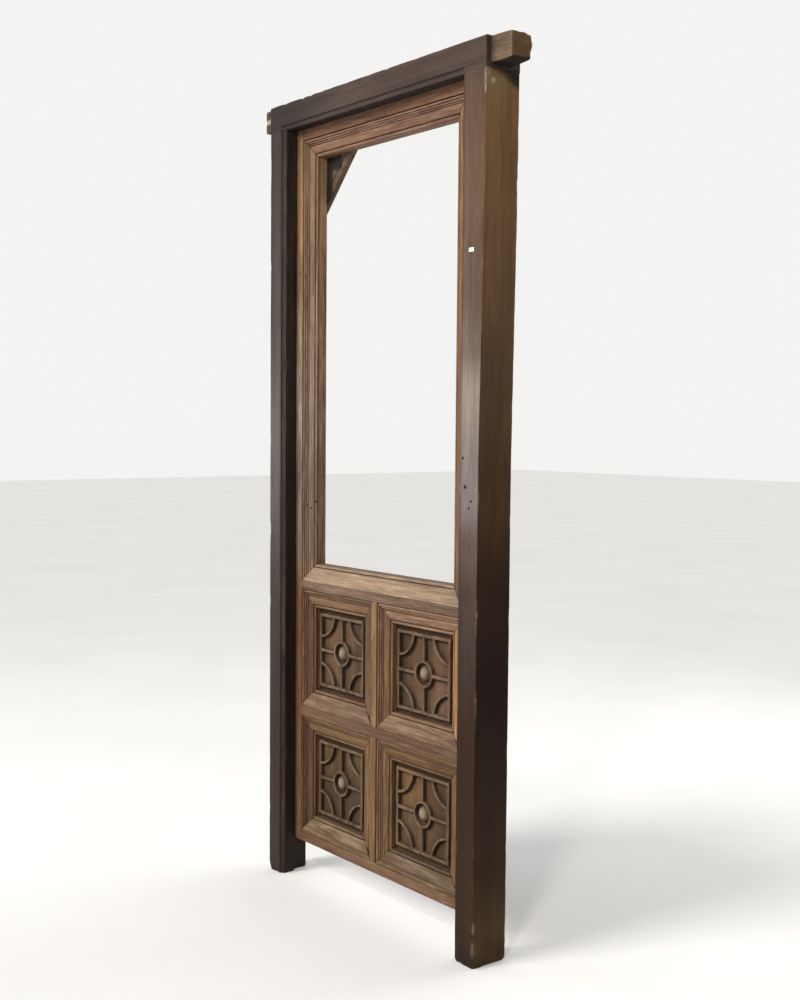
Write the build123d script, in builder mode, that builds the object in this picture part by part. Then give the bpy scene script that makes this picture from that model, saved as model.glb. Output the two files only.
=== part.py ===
from build123d import *
import os

os.makedirs("parts", exist_ok=True)

# ---------------------------------------------------------------- sizes, mm
# +X to the viewer's right, +Y from the front face to the back, +Z up.
# Origin: on the floor line, in the plane of the frame's front face, half_w to
# the right of the left jamb's outer face.

# frame
height = 2600.0            # floor to the top of the head beam
half_w = 538.4             # origin to the outer face of the left jamb
right_out = 517.0          # outer face of the right jamb, up to taper_z0
right_top = 530.0          # the same above taper_z1, and the head's end
taper_z0, taper_z1 = 1450.0, 2250.0
frame_d = 114.0            # depth of the left jamb and the head
right_d = 128.0            # depth of the right jamb, a thicker timber
left_in = -459.8           # inner face of the left jamb
right_in = 426.0           # inner face of the right jamb
head_bot = 2516.0          # underside of the head beam
rebate_w = 18.0            # the leaf's rebate, open to the back
rebate_y = 56.0            # shoulder that the leaf closes against
strip_w = 13.0             # sunk sloping strip on the inner front arrises
strip_quirk = 1.2
strip_step = 3.0

# horns: the reduced ends of the head beam that were built into the wall
horn_left = -596.0
horn_right = 611.0
horn_y0, horn_y1 = 16.0, 102.0
horn_bot = 2524.0

# leaf
leaf_f = 57.0              # plane of the flats
leaf_b = 113.0             # back of the leaf
leaf_x0 = -474.8
leaf_x1 = 440.0
leaf_z0 = 118.0
leaf_z1 = 2531.0
mould_w = 60.0             # width of the mouldings
mould_t = 28.0             # their full thickness, sunk in a rebate
flat_l = -429.0            # inner edge of the left stile's flat
flat_r = 391.0             # inner edge of the right stile's flat
flat_m0, flat_m1 = -36.0, -12.0   # the muntins' narrow flat
z_top = 2483.0             # lower edge of the top rail's flat
z_lock0, z_lock1 = 984.0, 1012.0  # lock rail's flat
z_mid0, z_mid1 = 552.0, 586.0     # middle rail's flat
z_bot = 151.0              # upper edge of the bottom rail's flat

in_l = flat_l + mould_w    # inner edges of the mouldings
in_r = flat_r - mould_w
mun_x0 = flat_m0 - mould_w
mun_x1 = flat_m1 + mould_w
light = (in_l, in_r, z_lock1 + mould_w, z_top - mould_w)
panels = {
    "upper_left": (in_l, mun_x0, z_mid1 + mould_w, z_lock0 - mould_w),
    "upper_right": (mun_x1, in_r, z_mid1 + mould_w, z_lock0 - mould_w),
    "lower_left": (in_l, mun_x0, z_bot + mould_w, z_mid0 - mould_w),
    "lower_right": (mun_x1, in_r, z_bot + mould_w, z_mid0 - mould_w),
}

# joinery
groove_y0, groove_y1 = 92.0, 103.0
groove_d = 12.0
tenon_y0, tenon_y1 = 92.0, 104.0
tenon_l = 76.0
peg_r = 5.0
slack = 0.2

# moulding section: (distance in from the flat's edge, depth below the flat)
section = [
    (0.0, mould_t), (0.0, 6.0), (2.5, 6.0), (3.0, 2.5), (9.0, 3.0), (9.5, 6.5),
    (15.0, 7.0), (15.5, 10.5), (20.5, 11.0), (21.0, 13.8), (22.5, 13.0),
    (26.0, 11.6), (32.0, 11.0), (38.0, 11.6), (44.0, 13.6), (48.0, 16.4),
    (48.5, 20.0), (51.0, 20.0), (51.5, 17.4), (57.0, 18.4), (60.0, 21.0),
    (60.0, mould_t),
]
# the strips below an opening shed water: a plain slope, a quirk and a bead
sill_section = [
    (0.0, mould_t), (0.0, 2.0), (1.2, 0.6), (4.0, 1.0), (26.0, 7.4), (48.0, 14.6),
    (48.5, 18.6), (51.0, 18.6), (51.5, 16.4), (57.0, 18.0), (60.0, 21.0),
    (60.0, mould_t),
]

# carved panels
rim_y = 80.0               # top of the rim and ribs
ground_y = 95.0            # floor of the pockets
margin = 15.0              # sunk margin between moulding and rim
rim_w = 11.0
rib_w = 12.0
ring_ro, ring_ri = 43.0, 33.0
boss_r = 24.0
arc_ro, arc_ri = 84.0, 74.5
panel_back = 107.0

# hinges
pin_x, pin_y = -476.3, 120.5
hinge_z = {"top": 2330.0, "middle": 1330.0, "bottom": 330.0}
plate_t = 2.0
plate_h = 100.0
plate_y0 = 82.0
barrel_r = 6.0
pin_r = 2.5
pin_play = 0.05
knuckle = 20.0
screw_dz = (-36.0, 0.0, 36.0)
screw_y = 97.0
screw_l = 25.0
screw_r = 2.0
screw_head_r = 4.0
screw_head_h = 1.8

# corner brace on the back of the leaf
brace_t = 20.0
brace_pts = [(-410.0, 2226.0), (-188.0, 2470.0), (-410.0, 2470.0)]
nail_pts = [(-392.0, 2285.0), (-392.0, 2352.0), (-392.0, 2418.0), (-310.0, 2451.0), (-238.0, 2451.0)]


def xz(y):
    """Plane of the elevation at depth y: local x is +X, local y is +Z."""
    return Plane(origin=(0, y, 0), x_dir=(1, 0, 0), z_dir=(0, -1, 0))


def save(builder, label):
    builder.part.label = label
    export_step(builder.part, "parts/" + label + ".step")


# ---------------------------------------------------------------- frame
# Jambs: one long timber each, with the sloping strip on the inner front
# arris, the rebate at the back, a stub tenon on top and the hinge recesses.
tenon_y = (30.0, 70.0)
tenon_top = head_bot + 55.0
l_tenon = (-524.0, -488.0)
r_tenon = (460.0, 502.0)

with BuildPart() as left_jamb:
    with BuildSketch(Plane.XY):
        with BuildLine():
            Polyline(
                (-half_w, 0), (left_in - strip_w, 0),
                (left_in - strip_w + strip_quirk, strip_step),
                (left_in, strip_w), (left_in, rebate_y),
                (left_in - rebate_w, rebate_y), (left_in - rebate_w, frame_d),
                (-half_w, frame_d), close=True,
            )
        make_face()
    extrude(amount=head_bot)
    with BuildSketch(Plane.XY.offset(head_bot)):
        with Locations(((l_tenon[0] + l_tenon[1]) / 2, (tenon_y[0] + tenon_y[1]) / 2)):
            Rectangle(l_tenon[1] - l_tenon[0], tenon_y[1] - tenon_y[0])
    extrude(amount=tenon_top - head_bot)
    for zc in hinge_z.values():
        with BuildSketch(Plane.XY.offset(zc - plate_h / 2 - slack)):
            with Locations((left_in - rebate_w - plate_t / 2, (plate_y0 - slack + frame_d + 1) / 2)):
                Rectangle(plate_t, frame_d + 1 - plate_y0 + slack)
        extrude(amount=plate_h + 2 * slack, mode=Mode.SUBTRACT)
    for zc in hinge_z.values():
        for dz in screw_dz:
            with BuildSketch(Plane(origin=(left_in - rebate_w, screw_y, zc + dz), z_dir=(-1, 0, 0))):
                Circle(screw_r + 0.05)
            extrude(amount=screw_l + 0.5, mode=Mode.SUBTRACT)
    with BuildSketch(Plane(origin=(-506.0, frame_d, head_bot + 27.0), z_dir=(0, -1, 0))):
        Circle(6.1)
    extrude(amount=96, mode=Mode.SUBTRACT)
save(left_jamb, "left_jamb")

with BuildPart() as right_jamb:
    with BuildSketch(Plane.XY):
        with BuildLine():
            Polyline(
                (right_top, 0), (right_top, right_d),
                (right_in + rebate_w, right_d), (right_in + rebate_w, rebate_y),
                (right_in, rebate_y), (right_in, strip_w),
                (right_in + strip_w - strip_quirk, strip_step),
                (right_in + strip_w, 0), close=True,
            )
        make_face()
    extrude(amount=head_bot)
    with BuildSketch(Plane.XY.offset(head_bot)):
        with Locations(((r_tenon[0] + r_tenon[1]) / 2, (tenon_y[0] + tenon_y[1]) / 2)):
            Rectangle(r_tenon[1] - r_tenon[0], tenon_y[1] - tenon_y[0])
    extrude(amount=tenon_top - head_bot)
    with BuildSketch(Plane(origin=(481.0, frame_d, head_bot + 27.0), z_dir=(0, -1, 0))):
        Circle(6.1)
    extrude(amount=96, mode=Mode.SUBTRACT)
    # below the top the outer face has been hewn back
    with BuildSketch(xz(-1)):
        with BuildLine():
            Polyline((right_out, -1), (right_out, taper_z0), (right_top, taper_z1), (right_top + 5, taper_z1), (right_top + 5, -1), close=True)
        make_face()
    extrude(amount=-(right_d + 2), mode=Mode.SUBTRACT)
save(right_jamb, "right_jamb")

# The sloping strip under the head, mitred to those on the jambs.
with BuildPart() as head_strip_cut:
    with BuildSketch(Plane(origin=(left_in - strip_w, 0, 0), x_dir=(0, 1, 0), z_dir=(1, 0, 0))):
        with BuildLine():
            Polyline(
                (-1.0, head_bot - 1.0), (-1.0, head_bot + strip_w),
                (0.0, head_bot + strip_w), (strip_step, head_bot + strip_w - strip_quirk),
                (strip_w, head_bot), (strip_w, head_bot - 1.0), close=True,
            )
        make_face()
    extrude(amount=right_in + strip_w - (left_in - strip_w))
    split(bisect_by=Plane(origin=(left_in - strip_w, 0, head_bot + strip_w), z_dir=(1, 0, 1)), keep=Keep.TOP)
    split(bisect_by=Plane(origin=(right_in + strip_w, 0, head_bot + strip_w), z_dir=(-1, 0, 1)), keep=Keep.TOP)

# Head beam: one timber with its two reduced horns, mortises for the jambs
# and the leaf's rebate along the back. The left horn has a split end.
with BuildPart() as head_beam:
    with BuildSketch(Plane.YZ.offset(-half_w)):
        with Locations((frame_d / 2, (head_bot + height) / 2)):
            Rectangle(frame_d, height - head_bot)
    extrude(amount=half_w + right_top)
    # over the thicker right jamb the head is left as deep as the jamb
    with BuildSketch(Plane.YZ.offset(right_in + rebate_w)):
        with Locations(((frame_d + right_d) / 2, (head_bot + height) / 2)):
            Rectangle(right_d - frame_d, height - head_bot)
    extrude(amount=right_top - right_in - rebate_w)
    with BuildSketch(Plane.YZ.offset(horn_left)):
        with Locations(((horn_y0 + horn_y1) / 2, (horn_bot + height) / 2)):
            RectangleRounded(horn_y1 - horn_y0, height - horn_bot, 5)
    extrude(amount=half_w + 40 + (-half_w - horn_left))
    with BuildSketch(Plane.YZ.offset(right_top - 40)):
        with Locations(((horn_y0 + horn_y1) / 2, (horn_bot + height) / 2)):
            RectangleRounded(horn_y1 - horn_y0, height - horn_bot, 5)
    extrude(amount=horn_right - right_top + 40)
    fillet(faces().sort_by(Axis.X)[-1].edges(), 4.5)
    fillet(faces().sort_by(Axis.X)[0].edges(), 4.5)
    with BuildSketch(xz(horn_y0 - 5)):
        with BuildLine():
            Polyline((horn_left - 5, 2569), (horn_left + 13, 2561.5), (horn_left - 5, 2555), close=True)
        make_face()
    extrude(amount=-(horn_y1 - horn_y0 + 10), mode=Mode.SUBTRACT)
    add(head_strip_cut.part, mode=Mode.SUBTRACT)
    with BuildSketch(Plane.XY.offset(head_bot - 1)):
        with Locations(((left_in + right_in) / 2, (rebate_y + frame_d + 1) / 2)):
            Rectangle(right_in - left_in + 2 * rebate_w, frame_d + 1 - rebate_y)
    extrude(amount=rebate_w + 1, mode=Mode.SUBTRACT)
    with BuildSketch(Plane.XY.offset(head_bot - 1)):
        with Locations(((l_tenon[0] + l_tenon[1]) / 2, (tenon_y[0] + tenon_y[1]) / 2)):
            Rectangle(l_tenon[1] - l_tenon[0] + 2 * slack, tenon_y[1] - tenon_y[0] + 2 * slack)
        with Locations(((r_tenon[0] + r_tenon[1]) / 2, (tenon_y[0] + tenon_y[1]) / 2)):
            Rectangle(r_tenon[1] - r_tenon[0] + 2 * slack, tenon_y[1] - tenon_y[0] + 2 * slack)
    extrude(amount=tenon_top - head_bot + 2, mode=Mode.SUBTRACT)
    for px, py in ((-506.0, frame_d), (481.0, right_d)):
        with BuildSketch(Plane(origin=(px, py + 1, head_bot + 27.0), z_dir=(0, -1, 0))):
            Circle(6.1)
        extrude(amount=py - 17, mode=Mode.SUBTRACT)
save(head_beam, "head_beam")

# Two oak pegs driven from the back through the head and the jambs' tenons.
with BuildPart() as frame_pegs:
    for px, py in ((-506.0, frame_d), (481.0, right_d)):
        with BuildSketch(Plane(origin=(px, py, head_bot + 27.0), z_dir=(0, -1, 0))):
            Circle(6.0)
        extrude(amount=py - 20)
save(frame_pegs, "frame_pegs")

# Small blank square of white paper stuck on the right jamb.
with BuildPart() as blank_label:
    with BuildSketch(xz(0)):
        with Locations((479.0, 2026.0)):
            Rectangle(20, 11)
    extrude(amount=0.4)
save(blank_label, "blank_label")

# ---------------------------------------------------------------- leaf frame
# Stiles: full height, with a flat along the outer side, a through rebate for
# the planted mouldings, grooves for the panels and mortises for the rails.
rail_tenons = {
    "top": (z_top - mould_w + 6, leaf_z1 - 22),
    "lock": (z_lock0 - mould_w + 14, z_lock1 + mould_w - 6),
    "mid": (z_mid0 - mould_w + 14, z_mid1 + mould_w - 14),
    "bottom": (leaf_z0 + 10, z_bot + mould_w - 14),
}
peg_z = {k: ((v[0] + v[1]) / 2 - 22, (v[0] + v[1]) / 2 + 22) for k, v in rail_tenons.items()}

with BuildPart() as hinge_stile:
    with BuildSketch(Plane.XY.offset(leaf_z0)):
        with Locations(((leaf_x0 + in_l) / 2, (leaf_f + leaf_b) / 2)):
            Rectangle(in_l - leaf_x0, leaf_b - leaf_f)
    extrude(amount=leaf_z1 - leaf_z0)
    with BuildSketch(Plane.XY.offset(leaf_z0 - 1)):
        with Locations(((flat_l + in_l + 1) / 2, leaf_f + mould_t / 2 - 0.5)):
            Rectangle(in_l + 1 - flat_l, mould_t + 1)
    extrude(amount=leaf_z1 - leaf_z0 + 2, mode=Mode.SUBTRACT)
    for x0, x1, za, zb in (panels["upper_left"], panels["lower_left"]):
        with BuildSketch(Plane.XY.offset(za - groove_d)):
            with Locations((in_l - groove_d / 2 + 0.5, (groove_y0 + groove_y1) / 2)):
                Rectangle(groove_d + 1, groove_y1 - groove_y0)
        extrude(amount=zb - za + 2 * groove_d, mode=Mode.SUBTRACT)
    for za, zb in rail_tenons.values():
        with BuildSketch(Plane.XY.offset(za - slack)):
            with Locations((in_l - tenon_l / 2 + 0.3, (tenon_y0 + tenon_y1) / 2)):
                Rectangle(tenon_l + 1.4, tenon_y1 - tenon_y0 + 2 * slack)
        extrude(amount=zb - za + 2 * slack, mode=Mode.SUBTRACT)
    for za, zb in peg_z.values():
        for z in (za, zb):
            with BuildSketch(Plane(origin=(in_l - 50, leaf_b, z), z_dir=(0, -1, 0))):
                Circle(peg_r + 0.1)
            extrude(amount=27, mode=Mode.SUBTRACT)
    for zc in hinge_z.values():
        with BuildSketch(Plane.XY.offset(zc - plate_h / 2 - slack)):
            with Locations((leaf_x0 + plate_t / 2, (plate_y0 - slack + leaf_b + 1) / 2)):
                Rectangle(plate_t, leaf_b + 1 - plate_y0 + slack)
        extrude(amount=plate_h + 2 * slack, mode=Mode.SUBTRACT)
        for dz in screw_dz:
            with BuildSketch(Plane(origin=(leaf_x0, screw_y, zc + dz), z_dir=(1, 0, 0))):
                Circle(screw_r + 0.05)
            extrude(amount=screw_l + 0.5, mode=Mode.SUBTRACT)
    for nx, nz in nail_pts[:3]:
        with BuildSketch(Plane(origin=(nx, leaf_b, nz), z_dir=(0, -1, 0))):
            Circle(1.85)
        extrude(amount=22, mode=Mode.SUBTRACT)
save(hinge_stile, "hinge_stile")

with BuildPart() as lock_stile:
    with BuildSketch(Plane.XY.offset(leaf_z0)):
        with Locations(((leaf_x1 + in_r) / 2, (leaf_f + leaf_b) / 2)):
            Rectangle(leaf_x1 - in_r, leaf_b - leaf_f)
    extrude(amount=leaf_z1 - leaf_z0)
    with BuildSketch(Plane.XY.offset(leaf_z0 - 1)):
        with Locations(((flat_r + in_r - 1) / 2, leaf_f + mould_t / 2 - 0.5)):
            Rectangle(flat_r - in_r + 1, mould_t + 1)
    extrude(amount=leaf_z1 - leaf_z0 + 2, mode=Mode.SUBTRACT)
    for x0, x1, za, zb in (panels["upper_right"], panels["lower_right"]):
        with BuildSketch(Plane.XY.offset(za - groove_d)):
            with Locations((in_r + groove_d / 2 - 0.5, (groove_y0 + groove_y1) / 2)):
                Rectangle(groove_d + 1, groove_y1 - groove_y0)
        extrude(amount=zb - za + 2 * groove_d, mode=Mode.SUBTRACT)
    for za, zb in rail_tenons.values():
        with BuildSketch(Plane.XY.offset(za - slack)):
            with Locations((in_r + tenon_l / 2 - 0.3, (tenon_y0 + tenon_y1) / 2)):
                Rectangle(tenon_l + 1.4, tenon_y1 - tenon_y0 + 2 * slack)
        extrude(amount=zb - za + 2 * slack, mode=Mode.SUBTRACT)
    for za, zb in peg_z.values():
        for z in (za, zb):
            with BuildSketch(Plane(origin=(in_r + 50, leaf_b, z), z_dir=(0, -1, 0))):
                Circle(peg_r + 0.1)
            extrude(amount=27, mode=Mode.SUBTRACT)
save(lock_stile, "lock_stile")

# Rails: each has a flat, one or two rebates for mouldings, a tenon at both
# ends, and in front of it a long shoulder: the flat laps over the stile's
# rebate up to the stile's own flat. Those over and under the panels are
# grooved and mortised.
rails = {
    "top_rail": (z_top - mould_w, leaf_z1, "top"),
    "lock_rail": (z_lock0 - mould_w, z_lock1 + mould_w, "lock"),
    "middle_rail": (z_mid0 - mould_w, z_mid1 + mould_w, "mid"),
    "bottom_rail": (leaf_z0, z_bot + mould_w, "bottom"),
}
mun_tenon = (flat_m0 - 24.0, flat_m1 + 24.0)
mun_tenon_l = 34.0
for name, (za, zb, key) in rails.items():
    with BuildPart() as rail:
        with BuildSketch(Plane.YZ.offset(in_l)):
            with Locations(((leaf_f + leaf_b) / 2, (za + zb) / 2)):
                Rectangle(leaf_b - leaf_f, zb - za)
        extrude(amount=in_r - in_l)
        ta, tb = rail_tenons[key]
        with BuildSketch(Plane.YZ.offset(in_l - tenon_l)):
            with Locations(((tenon_y0 + tenon_y1) / 2, (ta + tb) / 2)):
                Rectangle(tenon_y1 - tenon_y0, tb - ta)
        extrude(amount=in_r - in_l + 2 * tenon_l)
        # moulding rebates, right along the rail
        cuts = []
        if name != "bottom_rail":
            cuts.append((in_l - 1, in_r + 1, za - 1, za + mould_w))
        if name != "top_rail":
            cuts.append((in_l - 1, in_r + 1, zb - mould_w, zb + 1))
        with BuildSketch(xz(leaf_f - 1)):
            for xa, xb, ca, cb in cuts:
                with Locations(((xa + xb) / 2, (ca + cb) / 2)):
                    Rectangle(xb - xa, cb - ca)
        extrude(amount=-(mould_t + 1), mode=Mode.SUBTRACT)
        # the flat's long shoulders
        fa = za if name == "bottom_rail" else za + mould_w
        fb = zb if name == "top_rail" else zb - mould_w
        with BuildSketch(xz(leaf_f)):
            with Locations(((flat_l + flat_r) / 2, (fa + fb) / 2)):
                Rectangle(flat_r - flat_l, fb - fa)
        extrude(amount=-mould_t)
        # panel grooves and the muntins' mortises
        grooves, morts = [], []
        if name in ("lock_rail", "middle_rail"):
            grooves += [(in_l - 1, mun_x0 + groove_d, za - 1, za + groove_d), (mun_x1 - groove_d, in_r + 1, za - 1, za + groove_d)]
            morts += [(za - 1, za + mun_tenon_l + 0.5)]
        if name in ("middle_rail", "bottom_rail"):
            grooves += [(in_l - 1, mun_x0 + groove_d, zb - groove_d, zb + 1), (mun_x1 - groove_d, in_r + 1, zb - groove_d, zb + 1)]
            morts += [(zb - mun_tenon_l - 0.5, zb + 1)]
        if grooves:
            with BuildSketch(xz(groove_y0)):
                for xa, xb, ca, cb in grooves:
                    with Locations(((xa + xb) / 2, (ca + cb) / 2)):
                        Rectangle(xb - xa, cb - ca)
            extrude(amount=-(groove_y1 - groove_y0), mode=Mode.SUBTRACT)
            with BuildSketch(xz(tenon_y0 - slack)):
                for ca, cb in morts:
                    with Locations(((mun_tenon[0] + mun_tenon[1]) / 2, (ca + cb) / 2)):
                        Rectangle(mun_tenon[1] - mun_tenon[0] + 2 * slack, cb - ca)
            extrude(amount=-(tenon_y1 - tenon_y0 + 2 * slack), mode=Mode.SUBTRACT)
        # peg holes in the tenons
        for z in peg_z[key]:
            for px in (in_l - 50, in_r + 50):
                with BuildSketch(Plane(origin=(px, leaf_b, z), z_dir=(0, -1, 0))):
                    Circle(peg_r + 0.1)
                extrude(amount=27, mode=Mode.SUBTRACT)
        if name == "top_rail":
            for nx, nz in nail_pts[3:]:
                with BuildSketch(Plane(origin=(nx, leaf_b, nz), z_dir=(0, -1, 0))):
                    Circle(1.85)
                extrude(amount=22, mode=Mode.SUBTRACT)
    save(rail, name)

# Muntins: narrow flat in the middle, which laps over the rails' rebates up to
# their flats, and a moulding rebate on each side.
for name, key in (("upper_muntin", "upper_left"), ("lower_muntin", "lower_left")):
    _, _, za, zb = panels[key]
    with BuildPart() as muntin:
        with BuildSketch(Plane.XY.offset(za)):
            with Locations(((mun_x0 + mun_x1) / 2, (leaf_f + leaf_b) / 2)):
                Rectangle(mun_x1 - mun_x0, leaf_b - leaf_f)
            with Locations(((mun_x0 - 1 + flat_m0) / 2, leaf_f + mould_t / 2 - 0.5), ((mun_x1 + 1 + flat_m1) / 2, leaf_f + mould_t / 2 - 0.5)):
                Rectangle(flat_m0 - mun_x0 + 1, mould_t + 1, mode=Mode.SUBTRACT)
            with Locations((mun_x0 + groove_d / 2 - 0.5, (groove_y0 + groove_y1) / 2), (mun_x1 - groove_d / 2 + 0.5, (groove_y0 + groove_y1) / 2)):
                Rectangle(groove_d + 1, groove_y1 - groove_y0, mode=Mode.SUBTRACT)
        extrude(amount=zb - za)
        with BuildSketch(Plane.XY.offset(za - mun_tenon_l)):
            with Locations(((mun_tenon[0] + mun_tenon[1]) / 2, (tenon_y0 + tenon_y1) / 2)):
                Rectangle(mun_tenon[1] - mun_tenon[0], tenon_y1 - tenon_y0)
        extrude(amount=zb - za + 2 * mun_tenon_l)
        with BuildSketch(Plane.XY.offset(za - mould_w)):
            with Locations(((flat_m0 + flat_m1) / 2, leaf_f + mould_t / 2)):
                Rectangle(flat_m1 - flat_m0, mould_t)
        extrude(amount=zb - za + 2 * mould_w)
    save(muntin, name)

# Pegs that lock the rails' tenons, driven from the back.
with BuildPart() as leaf_pegs:
    for za, zb in peg_z.values():
        for z in (za, zb):
            for px in (in_l - 50, in_r + 50):
                with BuildSketch(Plane(origin=(px, leaf_b, z), z_dir=(0, -1, 0))):
                    Circle(peg_r)
                extrude(amount=26)
save(leaf_pegs, "leaf_pegs")

# ---------------------------------------------------------------- mouldings
# Mitred strips, four round the open light and four round each panel.
surrounds = {"light": light}
surrounds.update(panels)
for place, (x0, x1, z0, z1) in surrounds.items():
    xa, xb, zc, zd = x0 - mould_w, x1 + mould_w, z0 - mould_w, z1 + mould_w
    runs = {
        "left": ((xa, zc), (1, 0, 0), (0, 0, 1), zd - zc),
        "right": ((xb, zd), (-1, 0, 0), (0, 0, -1), zd - zc),
        "bottom": ((xb, zc), (0, 0, 1), (-1, 0, 0), xb - xa),
        "top": ((xa, zd), (0, 0, -1), (1, 0, 0), xb - xa),
    }
    for side, (corner, inward, along, length) in runs.items():
        start = Vector(corner[0], leaf_f, corner[1])
        end = start + Vector(*along) * length
        with BuildPart() as moulding:
            with BuildSketch(Plane(origin=start, x_dir=inward, z_dir=along)):
                with BuildLine():
                    Polyline(*(sill_section if side == "bottom" else section), close=True)
                make_face()
            extrude(amount=length)
            split(bisect_by=Plane(origin=start, z_dir=Vector(*along) - Vector(*inward)), keep=Keep.TOP)
            split(bisect_by=Plane(origin=end, z_dir=Vector(*along) * -1 - Vector(*inward)), keep=Keep.TOP)
        save(moulding, place + "_moulding_" + side)

# ---------------------------------------------------------------- carved panels
# One board each: a tongue all round, a sunk margin, a raised rim, and inside
# it upright and level ribs through a ring with a domed boss, and a quarter
# ring round each corner, with the ground cut away between them.
for place, (x0, x1, z0, z1) in panels.items():
    cx, cz = (x0 + x1) / 2, (z0 + z1) / 2
    w, h = x1 - x0, z1 - z0
    rw, rh = w - 2 * margin, h - 2 * margin
    with BuildPart() as panel:
        with BuildSketch(Plane(origin=(cx, groove_y0 + slack, cz), x_dir=(1, 0, 0), z_dir=(0, -1, 0))):
            Rectangle(w + 2 * groove_d - 3, h + 2 * groove_d - 3)
        extrude(amount=-(groove_y1 - groove_y0 - 2 * slack))
        with BuildSketch(Plane(origin=(cx, panel_back, cz), x_dir=(1, 0, 0), z_dir=(0, -1, 0))):
            Rectangle(w - 24, h - 24)
        extrude(amount=panel_back - groove_y0 - 2, taper=20)
        with BuildSketch(Plane(origin=(cx, rim_y, cz), x_dir=(1, 0, 0), z_dir=(0, -1, 0))):
            Rectangle(rw, rh)
        extrude(amount=-(groove_y1 - rim_y - 2))
        with BuildSketch(Plane(origin=(cx, rim_y, cz), x_dir=(1, 0, 0), z_dir=(0, -1, 0))):
            Rectangle(rw - 2 * rim_w, rh - 2 * rim_w)
            with Locations((-rw / 2, -rh / 2), (rw / 2, -rh / 2), (-rw / 2, rh / 2), (rw / 2, rh / 2)):
                Circle(arc_ro, mode=Mode.SUBTRACT)
            Rectangle(rib_w, rh, mode=Mode.SUBTRACT)
            Rectangle(rw, rib_w, mode=Mode.SUBTRACT)
            Circle(ring_ro, mode=Mode.SUBTRACT)
        extrude(amount=-(ground_y - rim_y), mode=Mode.SUBTRACT)
        with BuildSketch(Plane(origin=(cx, rim_y, cz), x_dir=(1, 0, 0), z_dir=(0, -1, 0))):
            with Locations((-rw / 2, -rh / 2), (rw / 2, -rh / 2), (-rw / 2, rh / 2), (rw / 2, rh / 2)):
                Circle(arc_ri)
            Rectangle(rw - 2 * rim_w, rh - 2 * rim_w, mode=Mode.INTERSECT)
            Circle(ring_ri)
        extrude(amount=-(ground_y - rim_y), mode=Mode.SUBTRACT)
        with BuildSketch(Plane(origin=(cx, 0, cz), x_dir=(1, 0, 0), z_dir=(0, 0, 1))):
            with BuildLine():
                Line((0, ground_y + 2), (0, rim_y + 1))
                ThreePointArc((0, rim_y + 1), (boss_r * 0.74, rim_y + 4.6), (boss_r, ground_y))
                Line((boss_r, ground_y), (boss_r, ground_y + 2))
                Line((boss_r, ground_y + 2), (0, ground_y + 2))
            make_face()
        revolve(axis=Axis((cx, 0, cz), (0, 1, 0)))
    save(panel, place + "_panel")

# ---------------------------------------------------------------- corner brace
with BuildPart() as corner_brace:
    with BuildSketch(xz(leaf_b)):
        with BuildLine():
            Polyline(*brace_pts, close=True)
        make_face()
    extrude(amount=-brace_t)
    for nx, nz in nail_pts:
        with BuildSketch(Plane(origin=(nx, leaf_b + brace_t, nz), z_dir=(0, -1, 0))):
            Circle(1.85)
        extrude(amount=brace_t, mode=Mode.SUBTRACT)
save(corner_brace, "corner_brace")

with BuildPart() as brace_nails:
    for nx, nz in nail_pts:
        with BuildSketch(Plane(origin=(nx, leaf_b + brace_t, nz), z_dir=(0, -1, 0))):
            Circle(1.75)
        extrude(amount=brace_t + 21)
        with BuildSketch(Plane(origin=(nx, leaf_b + brace_t + 1.5, nz), z_dir=(0, -1, 0))):
            Circle(4.5)
        extrude(amount=1.5)
save(brace_nails, "brace_nails")

# ---------------------------------------------------------------- hinges
# Plain butt hinges at the back edge: the frame half has three knuckles, the
# leaf half two, on a loose pin.
for place, zc in hinge_z.items():
    bottom = zc - plate_h / 2
    for half in ("frame", "leaf"):
        if half == "frame":
            px0, edge, own = left_in - rebate_w - plate_t, frame_d - 0.2, (0, 2, 4)
        else:
            px0, edge, own = leaf_x0, leaf_b - 0.2, (1, 3)
        with BuildPart() as hinge_half:
            with BuildSketch(Plane.XY.offset(bottom)):
                with Locations((px0 + plate_t / 2, (plate_y0 + edge) / 2)):
                    Rectangle(plate_t, edge - plate_y0)
            extrude(amount=plate_h)
            for k in own:
                za = bottom + k * knuckle + 0.2
                with BuildSketch(Plane.XY.offset(za)):
                    with Locations((pin_x, pin_y)):
                        Circle(barrel_r)
                    with Locations((px0 + plate_t / 2, (edge - 1 + pin_y) / 2)):
                        Rectangle(plate_t, pin_y - edge + 1)
                extrude(amount=knuckle - 0.4)
            with BuildSketch(Plane.XY.offset(bottom - 1)):
                with Locations((pin_x, pin_y)):
                    Circle(pin_r + pin_play)
            extrude(amount=plate_h + 2, mode=Mode.SUBTRACT)
            face_x = left_in - rebate_w if half == "frame" else leaf_x0
            out = 1 if half == "frame" else -1
            for dz in screw_dz:
                with BuildSketch(Plane(origin=(face_x, screw_y, zc + dz), z_dir=(-out, 0, 0))):
                    Circle(screw_r + 0.05)
                extrude(amount=plate_t + 1, mode=Mode.SUBTRACT)
                with BuildSketch(Plane(origin=(face_x + out * 0.1, screw_y, zc + dz), z_dir=(-out, 0, 0))):
                    Circle(screw_head_r + 0.1)
                extrude(amount=screw_head_h, taper=44, mode=Mode.SUBTRACT)
        save(hinge_half, place + "_hinge_" + half + "_half")
    with BuildPart() as hinge_pin:
        with BuildSketch(Plane.XY.offset(bottom + 0.2)):
            with Locations((pin_x, pin_y)):
                Circle(pin_r)
        extrude(amount=plate_h)
        with BuildSketch(Plane.XY.offset(zc + plate_h / 2 + 0.2)):
            with Locations((pin_x, pin_y)):
                Circle(4.6)
        extrude(amount=3)
        fillet(edges().sort_by(Axis.Z)[-1], 1.4)
    save(hinge_pin, place + "_hinge_pin")

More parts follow.
